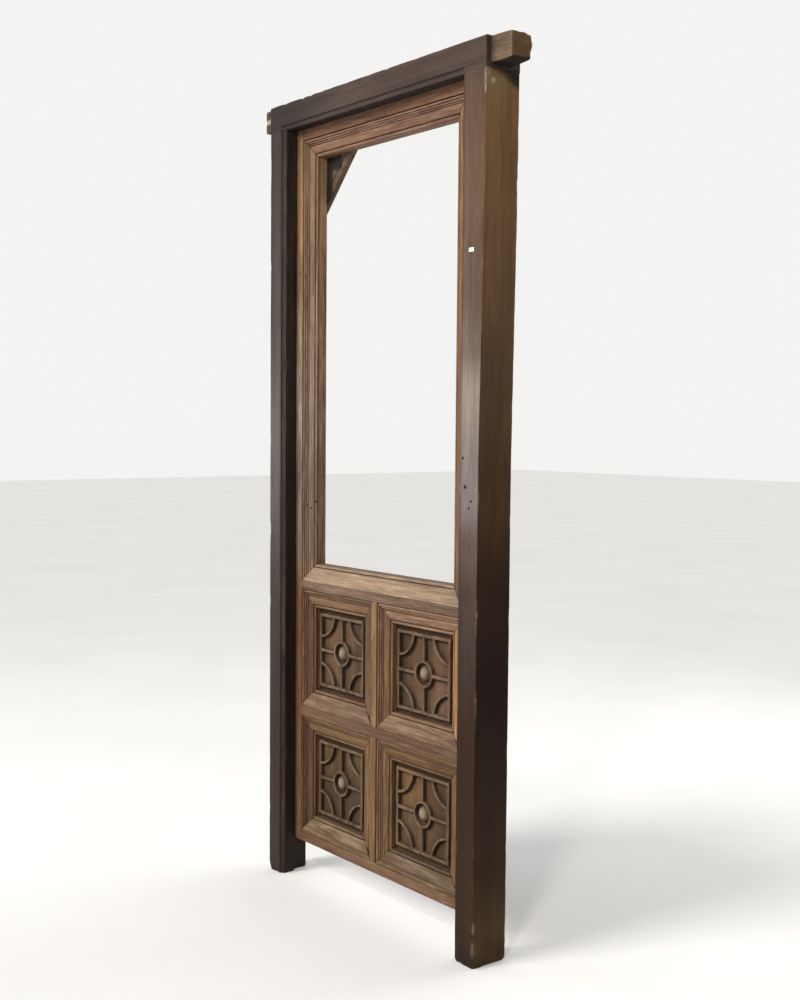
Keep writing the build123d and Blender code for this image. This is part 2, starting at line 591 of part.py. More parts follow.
for half in ("frame", "leaf"):
    face_x = left_in - rebate_w if half == "frame" else leaf_x0
    out = 1 if half == "frame" else -1
    with BuildPart() as hinge_screws:
        for zc in hinge_z.values():
            for dz in screw_dz:
                with BuildSketch(Plane(origin=(face_x, screw_y, zc + dz), z_dir=(-out, 0, 0))):
                    Circle(screw_r)
                extrude(amount=screw_l)
                with BuildSketch(Plane(origin=(face_x, screw_y, zc + dz), z_dir=(-out, 0, 0))):
                    Circle(screw_head_r - 0.2)
                extrude(amount=screw_head_h - 0.2, taper=44)
    save(hinge_screws, half + "_hinge_screws")
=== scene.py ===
import bpy
import math
import numpy as np
from mathutils import Matrix, Vector


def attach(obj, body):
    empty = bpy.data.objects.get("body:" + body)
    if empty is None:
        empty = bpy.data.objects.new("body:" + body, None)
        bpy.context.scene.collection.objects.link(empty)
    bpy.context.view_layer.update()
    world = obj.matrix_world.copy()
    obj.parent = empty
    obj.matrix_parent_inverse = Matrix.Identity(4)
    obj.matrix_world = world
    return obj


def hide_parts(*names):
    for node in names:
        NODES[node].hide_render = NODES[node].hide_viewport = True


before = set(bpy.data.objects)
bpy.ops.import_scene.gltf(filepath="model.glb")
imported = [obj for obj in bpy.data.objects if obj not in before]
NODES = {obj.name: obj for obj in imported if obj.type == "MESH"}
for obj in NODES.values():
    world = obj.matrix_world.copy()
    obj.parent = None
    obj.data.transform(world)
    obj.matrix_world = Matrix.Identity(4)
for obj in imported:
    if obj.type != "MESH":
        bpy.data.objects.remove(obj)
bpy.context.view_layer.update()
scene = bpy.context.scene

# ------------------------------------------------------------------ sizes, mm
H = 2600.0
HALF_W = 538.4
RIGHT_OUT, RIGHT_TOP, TAPER0, TAPER1 = 517.0, 530.0, 1450.0, 2250.0
D, RIGHT_D = 114.0, 128.0
LEFT_IN, RIGHT_IN = -459.8, 426.0
HEAD_BOT = 2516.0
REB_W, REB_Y = 18.0, 56.0
STRIP, QUIRK, STEP = 13.0, 1.2, 3.0
FLAT_Y = 57.0
MW, MT = 60.0, 28.0
FLAT_L, FLAT_R, FLAT_M0, FLAT_M1 = -429.0, 391.0, -36.0, -12.0
Z_TOP, Z_LOCK0, Z_LOCK1, Z_MID0, Z_MID1, Z_BOT = 2483.0, 984.0, 1012.0, 552.0, 586.0, 151.0
IN_L, IN_R, MUN0, MUN1 = FLAT_L + MW, FLAT_R - MW, FLAT_M0 - MW, FLAT_M1 + MW
LIGHT = (IN_L, IN_R, Z_LOCK1 + MW, Z_TOP - MW)
PANELS = {
    "upper_left": (IN_L, MUN0, Z_MID1 + MW, Z_LOCK0 - MW),
    "upper_right": (MUN1, IN_R, Z_MID1 + MW, Z_LOCK0 - MW),
    "lower_left": (IN_L, MUN0, Z_BOT + MW, Z_MID0 - MW),
    "lower_right": (MUN1, IN_R, Z_BOT + MW, Z_MID0 - MW),
}
SECTION = [
    (0.0, 6.0), (2.5, 6.0), (3.0, 2.5), (9.0, 3.0), (9.5, 6.5), (15.0, 7.0), (15.5, 10.5), (20.5, 11.0),
    (21.0, 13.8), (22.5, 13.0), (26.0, 11.6), (32.0, 11.0), (38.0, 11.6), (44.0, 13.6), (48.0, 16.4),
    (48.5, 20.0), (51.0, 20.0), (51.5, 17.4), (57.0, 18.4), (60.0, 21.0),
]
SILL = [
    (0.0, 2.0), (1.2, 0.6), (4.0, 1.0), (26.0, 7.4), (48.0, 14.6),
    (48.5, 18.6), (51.0, 18.6), (51.5, 16.4), (57.0, 18.0), (60.0, 21.0),
]

# ------------------------------------------------------------------ camera
cam_data = bpy.data.cameras.new("camera")
cam = bpy.data.objects.new("camera", cam_data)
scene.collection.objects.link(cam)
scene.camera = cam
yaw, pitch, roll = math.radians(51.251), math.radians(-3.306), math.radians(0.465)
fwd = Vector((-math.sin(yaw) * math.cos(pitch), math.cos(yaw) * math.cos(pitch), math.sin(pitch)))
right = Vector((math.cos(yaw), math.sin(yaw), 0.0))
up = right.cross(fwd)
r2 = math.cos(roll) * right + math.sin(roll) * up
u2 = -math.sin(roll) * right + math.cos(roll) * up
rot = Matrix((r2, u2, -fwd)).transposed().to_4x4()
cam.matrix_world = Matrix.Translation((3.1275, -2.3715, 1.5362)) @ rot
cam_data.sensor_width = 36.0
cam_data.lens = 45.797
cam_data.clip_end = 200.0


# ------------------------------------------------------------------ seeded noise
def _hash(ix, iy, iz, seed):
    h = (ix.astype(np.int64) * 374761393 + iy.astype(np.int64) * 668265263 + iz.astype(np.int64) * 2147483647 + seed * 1274126177) & 0xFFFFFFFF
    h = ((h ^ (h >> 13)) * 1274126177) & 0xFFFFFFFF
    h = ((h ^ (h >> 16)) * 2246822519) & 0xFFFFFFFF
    return ((h ^ (h >> 15)) & 0xFFFFFF) / float(0xFFFFFF)


def noise(x, y, z=0.0, seed=0):
    """Smooth noise in -1..1 at arrays of points, one cell per unit."""
    x, y, z = np.broadcast_arrays(np.asarray(x, float), np.asarray(y, float), np.asarray(z, float))
    fx, fy, fz = np.floor(x), np.floor(y), np.floor(z)
    tx, ty, tz = x - fx, y - fy, z - fz
    tx, ty, tz = tx * tx * (3 - 2 * tx), ty * ty * (3 - 2 * ty), tz * tz * (3 - 2 * tz)
    out = 0.0
    for dx in (0, 1):
        for dy in (0, 1):
            for dz in (0, 1):
                w = (tx if dx else 1 - tx) * (ty if dy else 1 - ty) * (tz if dz else 1 - tz)
                out = out + w * _hash(fx + dx, fy + dy, fz + dz, seed)
    return out * 2 - 1


def fbm(x, y, z=0.0, seed=0, octaves=3):
    out, amp, tot = 0.0, 1.0, 0.0
    for k in range(octaves):
        out = out + amp * noise(x * 2 ** k, y * 2 ** k, z * 2 ** k, seed + 31 * k)
        tot += amp
        amp *= 0.5
    return out / tot


def smooth(a, b, x):
    t = np.clip((np.asarray(x, float) - a) / (b - a), 0, 1)
    return t * t * (3 - 2 * t)


# ------------------------------------------------------------------ mesh helpers
def add_mesh(name, verts_mm, faces, attrs=None, sharp=None):
    me = bpy.data.meshes.new(name)
    me.from_pydata([tuple(v) for v in (np.asarray(verts_mm) * 0.001)], [], faces)
    me.update()
    for key, val in (attrs or {}).items():
        a = me.attributes.new(key, "FLOAT", "POINT")
        a.data.foreach_set("value", np.ascontiguousarray(val, np.float32))
    me.validate()
    ob = bpy.data.objects.new(name, me)
    scene.collection.objects.link(ob)
    me.polygons.foreach_set("use_smooth", np.ones(len(me.polygons), bool))
    if sharp is not None:
        me.set_sharp_from_angle(angle=math.radians(sharp))
    return ob


def grid_faces(n, m, closed=True, flip=False):
    """Quads for m rings of n points, ring by ring."""
    i, j = np.meshgrid(np.arange(n if closed else n - 1), np.arange(m - 1), indexing="ij")
    i2 = (i + 1) % n
    q = np.stack([j * n + i, j * n + i2, (j + 1) * n + i2, (j + 1) * n + i], -1).reshape(-1, 4)
    if flip:
        q = q[:, ::-1]
    return q.tolist()


def round_section(pts, radii, spacing, fine=1.0):
    """A closed section with its convex and concave corners rounded and its sides divided.
    Returns points, outward normals, distance to the nearest convex corner and to the nearest concave one."""
    pts = [np.array(p, float) for p in pts]
    n = len(pts)
    area = sum(pts[i][0] * pts[(i + 1) % n][1] - pts[(i + 1) % n][0] * pts[i][1] for i in range(n)) / 2
    sign = 1 if area > 0 else -1
    path, convex, concave = [], [], []
    for i in range(n):
        a, b, c = pts[i - 1], pts[i], pts[(i + 1) % n]
        u, v = (a - b) / np.linalg.norm(a - b), (c - b) / np.linalg.norm(c - b)
        turn = sign * ((b - a)[0] * (c - b)[1] - (b - a)[1] * (c - b)[0])
        (convex if turn > 0 else concave).append(b)
        r = radii[i] if isinstance(radii, (list, tuple)) else radii
        r = min(r, 0.45 * np.linalg.norm(a - b), 0.45 * np.linalg.norm(c - b))
        for t in np.linspace(0, 1, 5):
            path.append((1 - t) ** 2 * (b + u * r) + 2 * t * (1 - t) * b + t * t * (b + v * r))
    path = np.array(path)
    out = []
    cv = np.array(convex)
    for i in range(len(path)):
        a, b = path[i], path[(i + 1) % len(path)]
        L = np.linalg.norm(b - a)
        if L < 1e-6:
            continue
        d = min(np.min(np.linalg.norm(cv - a, axis=1)), np.min(np.linalg.norm(cv - b, axis=1)))
        k = max(1, int(math.ceil(L / spacing)))
        if L > 3 * spacing:
            s = np.linspace(0, 1, k + 1)
            near = min(0.25, 2.2 * fine / L)
            s = np.unique(np.concatenate([s, [near, 2.2 * near, 1 - near, 1 - 2.2 * near]]))
        else:
            s = np.linspace(0, 1, k + 1)
        for t in s[:-1]:
            out.append(a + (b - a) * t)
    P = np.array(out)
    if sign < 0:
        P = P[::-1]
    tan = np.roll(P, -1, 0) - np.roll(P, 1, 0)
    N = np.stack([tan[:, 1], -tan[:, 0]], 1)
    N /= np.linalg.norm(N, axis=1)[:, None] + 1e-12
    dc = np.min(np.linalg.norm(P[:, None] - cv[None], axis=2), axis=1)
    cc = np.array(concave) if concave else np.array([[1e6, 1e6]])
    dv = np.min(np.linalg.norm(P[:, None] - cc[None], axis=2), axis=1)
    return P, N, dc, dv


def timber(name, section, radii, t, axis, seed, wear=1.0, wave=0.5, trim=None, chips=(), spacing=6.0, attr=None, mask=None):
    """A long timber: a section carried along an axis, its arrises worn unevenly and its faces slightly uneven.
    Everything is taken off the section, never added."""
    P, N, dc, dv = round_section(section, radii, spacing)
    n, m = len(P), len(t)
    T = np.repeat(np.asarray(t, float)[:, None], n, 1)
    A = np.repeat(P[None, :, 0], m, 0)
    B = np.repeat(P[None, :, 1], m, 0)
    NA, NB = np.repeat(N[None, :, 0], m, 0), np.repeat(N[None, :, 1], m, 0)
    DC = np.repeat(dc[None], m, 0)
    DV = np.repeat(dv[None], m, 0)
    low = 0.5 + 0.5 * fbm(T / 260.0, A / 60.0, B / 60.0, seed)
    mid = 0.5 + 0.5 * fbm(T / 70.0, A / 22.0, B / 22.0, seed + 7, 3)
    off = wave * (0.7 * low + 0.5 * mid)
    edge = np.exp(-(DC / 5.0) ** 2)
    worn = smooth(0.35, 0.95, 0.5 + 0.5 * fbm(T / 55.0, A / 45.0, B / 45.0, seed + 13, 3))
    off = off + wear * edge * (0.3 + 2.0 * worn ** 2)
    chip = np.zeros_like(off)
    for ta, ca, cb, length, size in chips:
        along = np.exp(-((T - ta) / length) ** 4)
        near = np.exp(-(((A - ca) ** 2 + (B - cb) ** 2) / (2.2 * size) ** 2))
        rough = 0.75 + 0.35 * noise(T / 4.0, A / 4.0, B / 4.0, seed + 3)
        chip = np.maximum(chip, along * near * size * rough)
    off = off + chip
    if mask is not None:
        off = off * mask(T, A, B)
    A2, B2 = A - NA * off, B - NB * off
    if trim is not None:
        T, A2, B2 = trim(T, A2, B2)
    cols = {"X": (T, A2, B2), "Z": (A2, B2, T)}[axis]
    V = np.stack([c.ravel() for c in cols], 1)
    faces = grid_faces(n, m, True, flip=False)
    faces.append(list(range(n))[::-1])
    faces.append(list(range((m - 1) * n, m * n)))
    wearv = np.clip(edge * 0.8 * worn ** 3 + np.clip(chip / 3.0, 0, 1), 0, 1)
    # darker near the concave corners: dirt and painted shade
    dirt_shade_v = np.exp(-(DV / 7.0) ** 2) * (0.6 + 0.4 * mid)
    at = {"wear": wearv.ravel(), "dirt": np.clip(dirt_shade_v, 0, 1).ravel()}
    if attr is not None:
        for k, f in attr.items():
            at[k] = np.clip(f(T, A, B, at), 0, 1).ravel()
    return add_mesh(name, V, faces, at, sharp=38)


# ------------------------------------------------------------------ materials
def lin(r, g, b):
    return (r, g, b, 1.0)


class Mat:
    """Small helper that builds a node material."""

    def __init__(self, name):
        self.m = bpy.data.materials.new(name)
        self.m.use_nodes = True
        self.t = self.m.node_tree
        self.n = self.t.nodes
        self.bsdf = self.n["Principled BSDF"]
        self.x = -400

    def add(self, kind, **kw):
        nd = self.n.new(kind)
        for k, v in kw.items():
            setattr(nd, k, v)
        return nd

    def link(self, a, b):
        self.t.links.new(a, b)
        return a

    def math(self, op, a, b=None, c=None, clamp=False):
        nd = self.add("ShaderNodeMath", operation=op, use_clamp=clamp)
        for i, v in enumerate((a, b, c)):
            if v is None:
                continue
            if isinstance(v, (int, float)):
                nd.inputs[i].default_value = v
            else:
                self.link(v, nd.inputs[i])
        return nd.outputs[0]

    def mapr(self, v, a, b, c=0.0, d=1.0, kind="SMOOTHSTEP"):
        nd = self.add("ShaderNodeMapRange", interpolation_type=kind)
        self.link(v, nd.inputs["Value"])
        for k, val in (("From Min", a), ("From Max", b), ("To Min", c), ("To Max", d)):
            nd.inputs[k].default_value = val
        return nd.outputs["Result"]

    def mix(self, fac, a, b, blend="MIX"):
        nd = self.add("ShaderNodeMix", data_type="RGBA", blend_type=blend)
        for sock, v in ((nd.inputs[0], fac), (nd.inputs[6], a), (nd.inputs[7], b)):
            if isinstance(v, (int, float)):
                sock.default_value = v
            elif isinstance(v, tuple):
                sock.default_value = v
            else:
                self.link(v, sock)
        return nd.outputs[2]

    def coords(self, scale=(1, 1, 1), shift=(0, 0, 0), warp=None):
        if not hasattr(self, "_obj"):
            self._obj = self.add("ShaderNodeTexCoord").outputs["Object"]
        mp = self.add("ShaderNodeMapping")
        self.link(warp if warp is not None else self._obj, mp.inputs["Vector"])
        mp.inputs["Scale"].default_value = scale
        mp.inputs["Location"].default_value = shift
        return mp.outputs["Vector"]

    def noise(self, vec, scale, detail=4.0, rough=0.55, dist=0.0):
        nd = self.add("ShaderNodeTexNoise")
        self.link(vec, nd.inputs["Vector"])
        nd.inputs["Scale"].default_value = scale
        nd.inputs["Detail"].default_value = detail
        nd.inputs["Roughness"].default_value = rough
        nd.inputs["Distortion"].default_value = dist
        return nd.outputs["Fac"]

    def attr(self, name):
        return self.add("ShaderNodeAttribute", attribute_name=name).outputs["Fac"]

    def split(self):
        if not hasattr(self, "_sep"):
            if not hasattr(self, "_obj"):
                self._obj = self.add("ShaderNodeTexCoord").outputs["Object"]
            s = self.add("ShaderNodeSeparateXYZ")
            self.link(self._obj, s.inputs[0])
            self._sep = s.outputs
        return self._sep


def own_normal(M):
    """The face's direction in the piece's own frame."""
    geo = M.add("ShaderNodeNewGeometry")
    nrm = M.add("ShaderNodeVectorTransform", vector_type="NORMAL", convert_from="WORLD", convert_to="OBJECT")
    M.link(geo.outputs["True Normal"], nrm.inputs[0])
    sn = M.add("ShaderNodeSeparateXYZ")
    M.link(nrm.outputs[0], sn.inputs[0])
    return sn


def wood(name, axis, seed, dark, mid, light, worn, dirt, rough=(0.5, 0.8), spec=0.3, grain=1.0, blotch=0.5, bump=0.35, holes=(), cracks=0.5, tint=None, ring=1.0, coat=0.0, dirt_shade_gain=1.0, wear_gain=1.0):
    """Aged timber with its grain along one axis. Colours are linear. tint is a function that may recolour the result."""
    M = Mat(name)
    k = {"X": (0.05, 1, 1), "Y": (1, 0.05, 1), "Z": (1, 1, 0.05)}[axis]
    rng = np.random.default_rng(seed)
    sh = tuple(float(v) for v in rng.uniform(-9, 9, 3))
    # slow sideways drift of the grain
    drift = M.noise(M.coords((1, 1, 1), sh), 2.2, 2.0)
    grain_vec = M.coords(k, sh)
    warp = M.add("ShaderNodeVectorMath", operation="ADD")
    M.link(grain_vec, warp.inputs[0])
    comb = M.add("ShaderNodeCombineXYZ")
    dv = M.math("MULTIPLY", M.math("SUBTRACT", drift, 0.5), 0.05)
    for i, ax in enumerate("XYZ"):
        if ax != axis:
            M.link(dv, comb.inputs[i])
    M.link(comb.outputs[0], warp.inputs[1])
    gv = warp.outputs[0]
    rings = M.noise(gv, 26.0 * ring, 3.0, 0.5, 0.6)
    fibre = M.noise(gv, 150.0, 6.0, 0.7, 0.2)
    pores = M.noise(gv, 420.0, 3.0, 0.6)
    kl = tuple(0.3 if c < 1 else 1 for c in k)
    big = M.noise(M.coords(kl, tuple(v * 0.7 for v in sh)), 3.6, 4.0, 0.6)
    patch = M.noise(M.coords(kl, tuple(v * 1.3 for v in sh)), 15.0, 5.0, 0.62)
    f1 = M.mapr(rings, 0.32, 0.68)
    col = M.mix(f1, lin(*dark), lin(*mid))
    f2 = M.mapr(fibre, 0.42, 0.72, 0.0, 0.85 * grain)
    col = M.mix(f2, col, lin(*light))
    f3 = M.mapr(pores, 0.56, 0.74, 0.0, 0.75 * grain)
    col = M.mix(f3, col, lin(*[c * 0.35 for c in dark]))
    f4 = M.mapr(big, 0.36, 0.66, 0.0, blotch)
    col = M.mix(f4, col, lin(*[0.5 * (a + b) for a, b in zip(dark, dirt)]), "MIX")
    f5 = M.mapr(patch, 0.52, 0.76, 0.0, 0.5 * blotch)
    col = M.mix(f5, col, lin(*light))
    if tint is not None:
        col = tint(M, col)
    # drying cracks: thin, long, along the grain
    cv = M.coords(tuple(c * (0.35 if c < 1 else 1) for c in k), tuple(v * 0.4 for v in sh))
    cr = M.noise(cv, 44.0, 2.0, 0.45)
    gate = M.mapr(M.noise(M.coords((1, 1, 1), tuple(-v for v in sh)), 5.0, 2.0), 0.48, 0.62)
    thin = M.math("ABSOLUTE", M.math("SUBTRACT", cr, 0.5))
    crack = M.math("MULTIPLY", M.mapr(thin, 0.0, 0.012, 1.0, 0.0), gate)
    crack = M.math("MULTIPLY", crack, cracks)
    col = M.mix(crack, col, lin(*[c * 0.25 for c in dark]))
    # wear on raised edges, in places with painted highlight and sheen; dirt and painted shade in the hollows and
    # under parts
    kk = tuple(0.22 if c < 1 else 1 for c in k)
    wn = M.noise(M.coords(kk, sh), 46.0, 5.0, 0.65)
    wear = M.math("MULTIPLY", M.attr("wear"), M.mapr(wn, 0.3, 0.66))
    wear = M.math("MULTIPLY", wear, wear_gain, clamp=True)
    col = M.mix(wear, col, lin(*worn))
    dn = M.noise(M.coords((1, 1, 1), sh), 21.0, 4.0, 0.6)
    dirt_shade_mix = M.math("MULTIPLY", M.attr("dirt"), M.mapr(dn, 0.2, 0.6, 0.65, 1.0))
    dirt_shade_mix = M.math("MULTIPLY", dirt_shade_mix, dirt_shade_gain, clamp=True)
    col = M.mix(dirt_shade_mix, col, lin(*dirt))
    pit = None
    if holes:
        sx = M.split()
        for hx, hz, hr in holes:
            dx = M.math("SUBTRACT", sx[0], hx * 0.001)
            dz = M.math("SUBTRACT", sx[2], hz * 0.001)
            d = M.math("SQRT", M.math("ADD", M.math("MULTIPLY", dx, dx), M.math("MULTIPLY", dz, dz)))
            h = M.mapr(d, hr * 0.0006, hr * 0.0012, 1.0, 0.0)
            pit = h if pit is None else M.math("MAXIMUM", pit, h)
        pit = M.math("MULTIPLY", pit, M.mapr(own_normal(M).outputs[1], -0.7, -0.4, 1.0, 0.0))
        col = M.mix(pit, col, lin(0.006, 0.004, 0.003))
    M.link(col, M.bsdf.inputs["Base Color"])
    r = M.mapr(fibre, 0.3, 0.75, rough[0], rough[1], "LINEAR")
    r = M.math("ADD", r, M.math("MULTIPLY", M.math("ADD", dirt_shade_mix, wear), 0.14), clamp=True)
    M.link(r, M.bsdf.inputs["Roughness"])
    M.bsdf.inputs["Specular IOR Level"].default_value = spec
    if coat:
        M.bsdf.inputs["Coat Weight"].default_value = coat
        M.bsdf.inputs["Coat Roughness"].default_value = 0.35
    hgt = M.math("ADD", M.math("MULTIPLY", fibre, 0.55), M.math("MULTIPLY", rings, 0.35))
    hgt = M.math("SUBTRACT", hgt, M.math("MULTIPLY", f3, 0.45))
    hgt = M.math("SUBTRACT", hgt, M.math("MULTIPLY", crack, 1.6))
    hgt = M.math("ADD", hgt, M.math("MULTIPLY", patch, 0.3))
    if pit is not None:
        hgt = M.math("SUBTRACT", hgt, M.math("MULTIPLY", pit, 2.5))
    bp = M.add("ShaderNodeBump")
    bp.inputs["Strength"].default_value = bump
    bp.inputs["Distance"].default_value = 0.0012
    M.link(hgt, bp.inputs["Height"])
    M.link(bp.outputs["Normal"], M.bsdf.inputs["Normal"])
    return M.m


def put(ob, mat):
    ob.data.materials.clear()
    ob.data.materials.append(mat)


# frame timber: dark stain, greyed front faces, a painted sheen (painted reflection) in a band at mid height, browner
# sides
FRAME_DARK, FRAME_MID, FRAME_LIGHT = (0.030, 0.020, 0.014), (0.060, 0.042, 0.031), (0.105, 0.080, 0.063)
FRAME_WORN, FRAME_DIRT_AND_SHADE = (0.10, 0.078, 0.058), (0.010, 0.007, 0.005)


def by_height(M, col, stops):
    """Multiplies the colour by a factor that changes with height; stops are (z in m, factor rgb)."""
    z = M.split()[2]
    ramp = M.add("ShaderNodeValToRGB")
    zn = M.math("DIVIDE", z, 2.6)
    M.link(zn, ramp.inputs[0])
    el = ramp.color_ramp.elements
    while len(el) > 1:
        el.remove(el[-1])
    el[0].position = stops[0][0] / 2.6
    el[0].color = lin(*[v / 5.0 for v in stops[0][1]])
    for zz, c in stops[1:]:
        e = el.new(zz / 2.6)
        e.color = lin(*[v / 5.0 for v in c])
    ramp.color_ramp.interpolation = "EASE"
    full = M.add("ShaderNodeVectorMath", operation="SCALE")
    M.link(ramp.outputs[0], full.inputs[0])
    full.inputs["Scale"].default_value = 5.0
    return M.mix(1.0, col, full.outputs[0], "MULTIPLY")


def post_tint(stops, side):
    """Front face by height, and another colour on the faces that look sideways."""

    def f(M, col):
        front = by_height(M, col, stops)
        geo = M.add("ShaderNodeNewGeometry")
        nrm = M.add("ShaderNodeVectorTransform", vector_type="NORMAL", convert_from="WORLD", convert_to="OBJECT")
        M.link(geo.outputs["True Normal"], nrm.inputs[0])
        s = M.add("ShaderNodeSeparateXYZ")
        M.link(nrm.outputs[0], s.inputs[0])
        ax = M.math("ABSOLUTE", s.outputs[0])
        return M.mix(M.mapr(ax, 0.45, 0.8), front, by_height(M, col, side))

    return f


# the front stops paint a pale bluish sheen band near 1.5 m: painted reflection
left_mat = wood("left_jamb_wood", "Z", 11, FRAME_DARK, FRAME_MID, FRAME_LIGHT, FRAME_WORN, FRAME_DIRT_AND_SHADE, rough=(0.42, 0.66), spec=0.2, grain=0.4, bump=0.2, blotch=0.5, wear_gain=0.6,
                tint=post_tint([(0.0, (0.52, 0.34, 0.2)), (0.3, (0.48, 0.2, 0.05)), (0.95, (0.56, 0.48, 0.46)), (1.5, (1.75, 1.9, 2.45)), (1.95, (0.88, 0.88, 1.0)), (2.4, (0.58, 0.55, 0.53))],
                               [(0.0, (0.42, 0.32, 0.25)), (2.6, (0.46, 0.4, 0.4))]))


def scuffed(tint):
    """Pale knocks where the surface has broken away."""

    def f(M, c):
        return M.mix(M.math("MULTIPLY", M.attr("scuff"), M.mapr(M.noise(M.coords((1, 1, 0.3), (0.4, 1.9, 2.2)), 160.0, 4.0, 0.7), 0.4, 0.55, 0.1, 0.72)), tint(M, c), lin(0.4, 0.33, 0.26))

    return f


# the front stops paint a pale bluish sheen band from about 1.2 to 1.9 m: painted reflection; the side stops paint the
# side face lighter in its upper half: painted light from above
right_mat = wood("right_jamb_wood", "Z", 23, (0.042, 0.0295, 0.021), FRAME_MID, (0.09, 0.07, 0.054), (0.32, 0.255, 0.195), FRAME_DIRT_AND_SHADE, rough=(0.45, 0.66), spec=0.12, grain=0.4, bump=0.2, blotch=0.5, wear_gain=0.85,
                 holes=[(452, 1449, 5), (463, 1368, 6), (487, 1329, 4.5), (480, 1309, 4.5)],
                 tint=scuffed(post_tint([(0.0, (0.5, 0.31, 0.19)), (0.65, (0.48, 0.26, 0.14)), (1.05, (0.72, 0.64, 0.68)), (1.2, (1.35, 1.35, 1.5)), (1.33, (2.5, 2.95, 4.0)), (1.62, (3.7, 4.3, 5.0)), (1.76, (2.1, 2.1, 2.3)), (1.92, (1.5, 1.32, 1.36)), (2.2, (1.9, 1.52, 1.3)), (2.42, (1.5, 1.18, 1.0)), (2.52, (1.1, 0.93, 0.88))],
                                [(0.0, (1.6, 1.2, 0.55)), (0.3, (0.62, 0.36, 0.13)), (0.8, (0.2, 0.05, 0.0)), (1.05, (0.36, 0.15, 0.03)), (1.36, (0.95, 0.66, 0.3)), (1.62, (1.35, 1.05, 0.6)), (1.9, (2.05, 1.5, 0.85)), (2.2, (2.5, 1.85, 1.05)), (2.6, (2.45, 1.95, 1.25))])))
head_mat = wood("head_wood", "X", 37, FRAME_DARK, FRAME_MID, FRAME_LIGHT, FRAME_WORN, FRAME_DIRT_AND_SHADE, rough=(0.45, 0.7), spec=0.18, grain=0.4, bump=0.22, blotch=0.45, wear_gain=0.6,
                tint=lambda M, c: M.mix(M.mapr(M.split()[0], -0.43, -0.08), M.mix(1.0, c, lin(0.42, 0.38, 0.43), "MULTIPLY"), M.mix(1.0, c, lin(1.12, 1.0, 1.03), "MULTIPLY")))
def end_darker(M, c):
    sn = own_normal(M)
    return M.mix(M.mapr(sn.outputs[0], 0.5, 0.85), M.mix(1.0, c, lin(0.72, 0.74, 0.78), "MULTIPLY"), M.mix(1.0, c, lin(0.92, 0.76, 0.54), "MULTIPLY"))


horn_mat = wood("horn_wood", "X", 41, (0.10, 0.062, 0.037), (0.17, 0.11, 0.066), (0.25, 0.175, 0.11), (0.3, 0.21, 0.13), (0.012, 0.008, 0.005), rough=(0.6, 0.85), spec=0.12, blotch=0.45, tint=end_darker)

# leaf timber
LEAF_DARK, LEAF_MID, LEAF_LIGHT = (0.098, 0.05, 0.025), (0.188, 0.108, 0.061), (0.3, 0.2, 0.127)
LEAF_WORN, LEAF_DIRT_AND_SHADE = (0.33, 0.24, 0.165), (0.02, 0.011, 0.007)


def leaf_wood(name, axis, seed, tone=(1, 1, 1), **kw):
    d = tuple(a * b for a, b in zip(LEAF_DARK, tone))
    m = tuple(a * b for a, b in zip(LEAF_MID, tone))
    l = tuple(a * b for a, b in zip(LEAF_LIGHT, tone))
    kw.setdefault("rough", (0.5, 0.78))
    kw.setdefault("spec", 0.16)
    return wood(name, axis, seed, d, m, l, LEAF_WORN, LEAF_DIRT_AND_SHADE, **kw)


# ------------------------------------------------------------------ frame timbers
def jamb_section(outer, inner, deep=D):
    s = 1 if inner > outer else -1
    return [
        (outer, 0), (inner - s * STRIP, 0), (inner - s * (STRIP - QUIRK), STEP), (inner, STRIP), (inner, REB_Y),
        (inner - s * REB_W, REB_Y), (inner - s * REB_W, deep), (outer, deep),
    ]


def foot(knock=None, depth=5.0, seed=0):
    """Rounds and roughens the end grain at the foot; knock takes off one outer corner."""

    def f(T, A, B):
        ca, cb = A.mean(), B.mean()
        k = np.clip(1 - T / 16.0, 0, 1) ** 2 * depth
        k = k * (0.65 + 0.5 * noise(A / 14.0, B / 14.0, 0.0, seed + 5))
        ra, rb = A - ca, B - cb
        rr = np.sqrt(ra ** 2 + rb ** 2) + 1e-6
        A2, B2 = A - ra / rr * k, B - rb / rr * k
        if knock is not None:
            x0, sx, wide, tall = knock
            lim = x0 + sx * wide * np.clip(1 - T / tall, 0, 1) * (0.85 + 0.2 * noise(T / 6.0, B / 12.0, 0, seed))
            A2 = np.maximum(A2, lim) if sx > 0 else np.minimum(A2, lim)
        return T, A2, B2

    return f


def jamb_t(seed):
    rng = np.random.default_rng(seed)
    t = np.concatenate([[0, 1.5, 3.5, 6, 9, 13, 18, 24, 31], np.arange(39, HEAD_BOT - 3, 8.2)])
    t = t + np.concatenate([[0], rng.uniform(-1, 1, len(t) - 1) * 0.3])
    return np.append(t, HEAD_BOT)


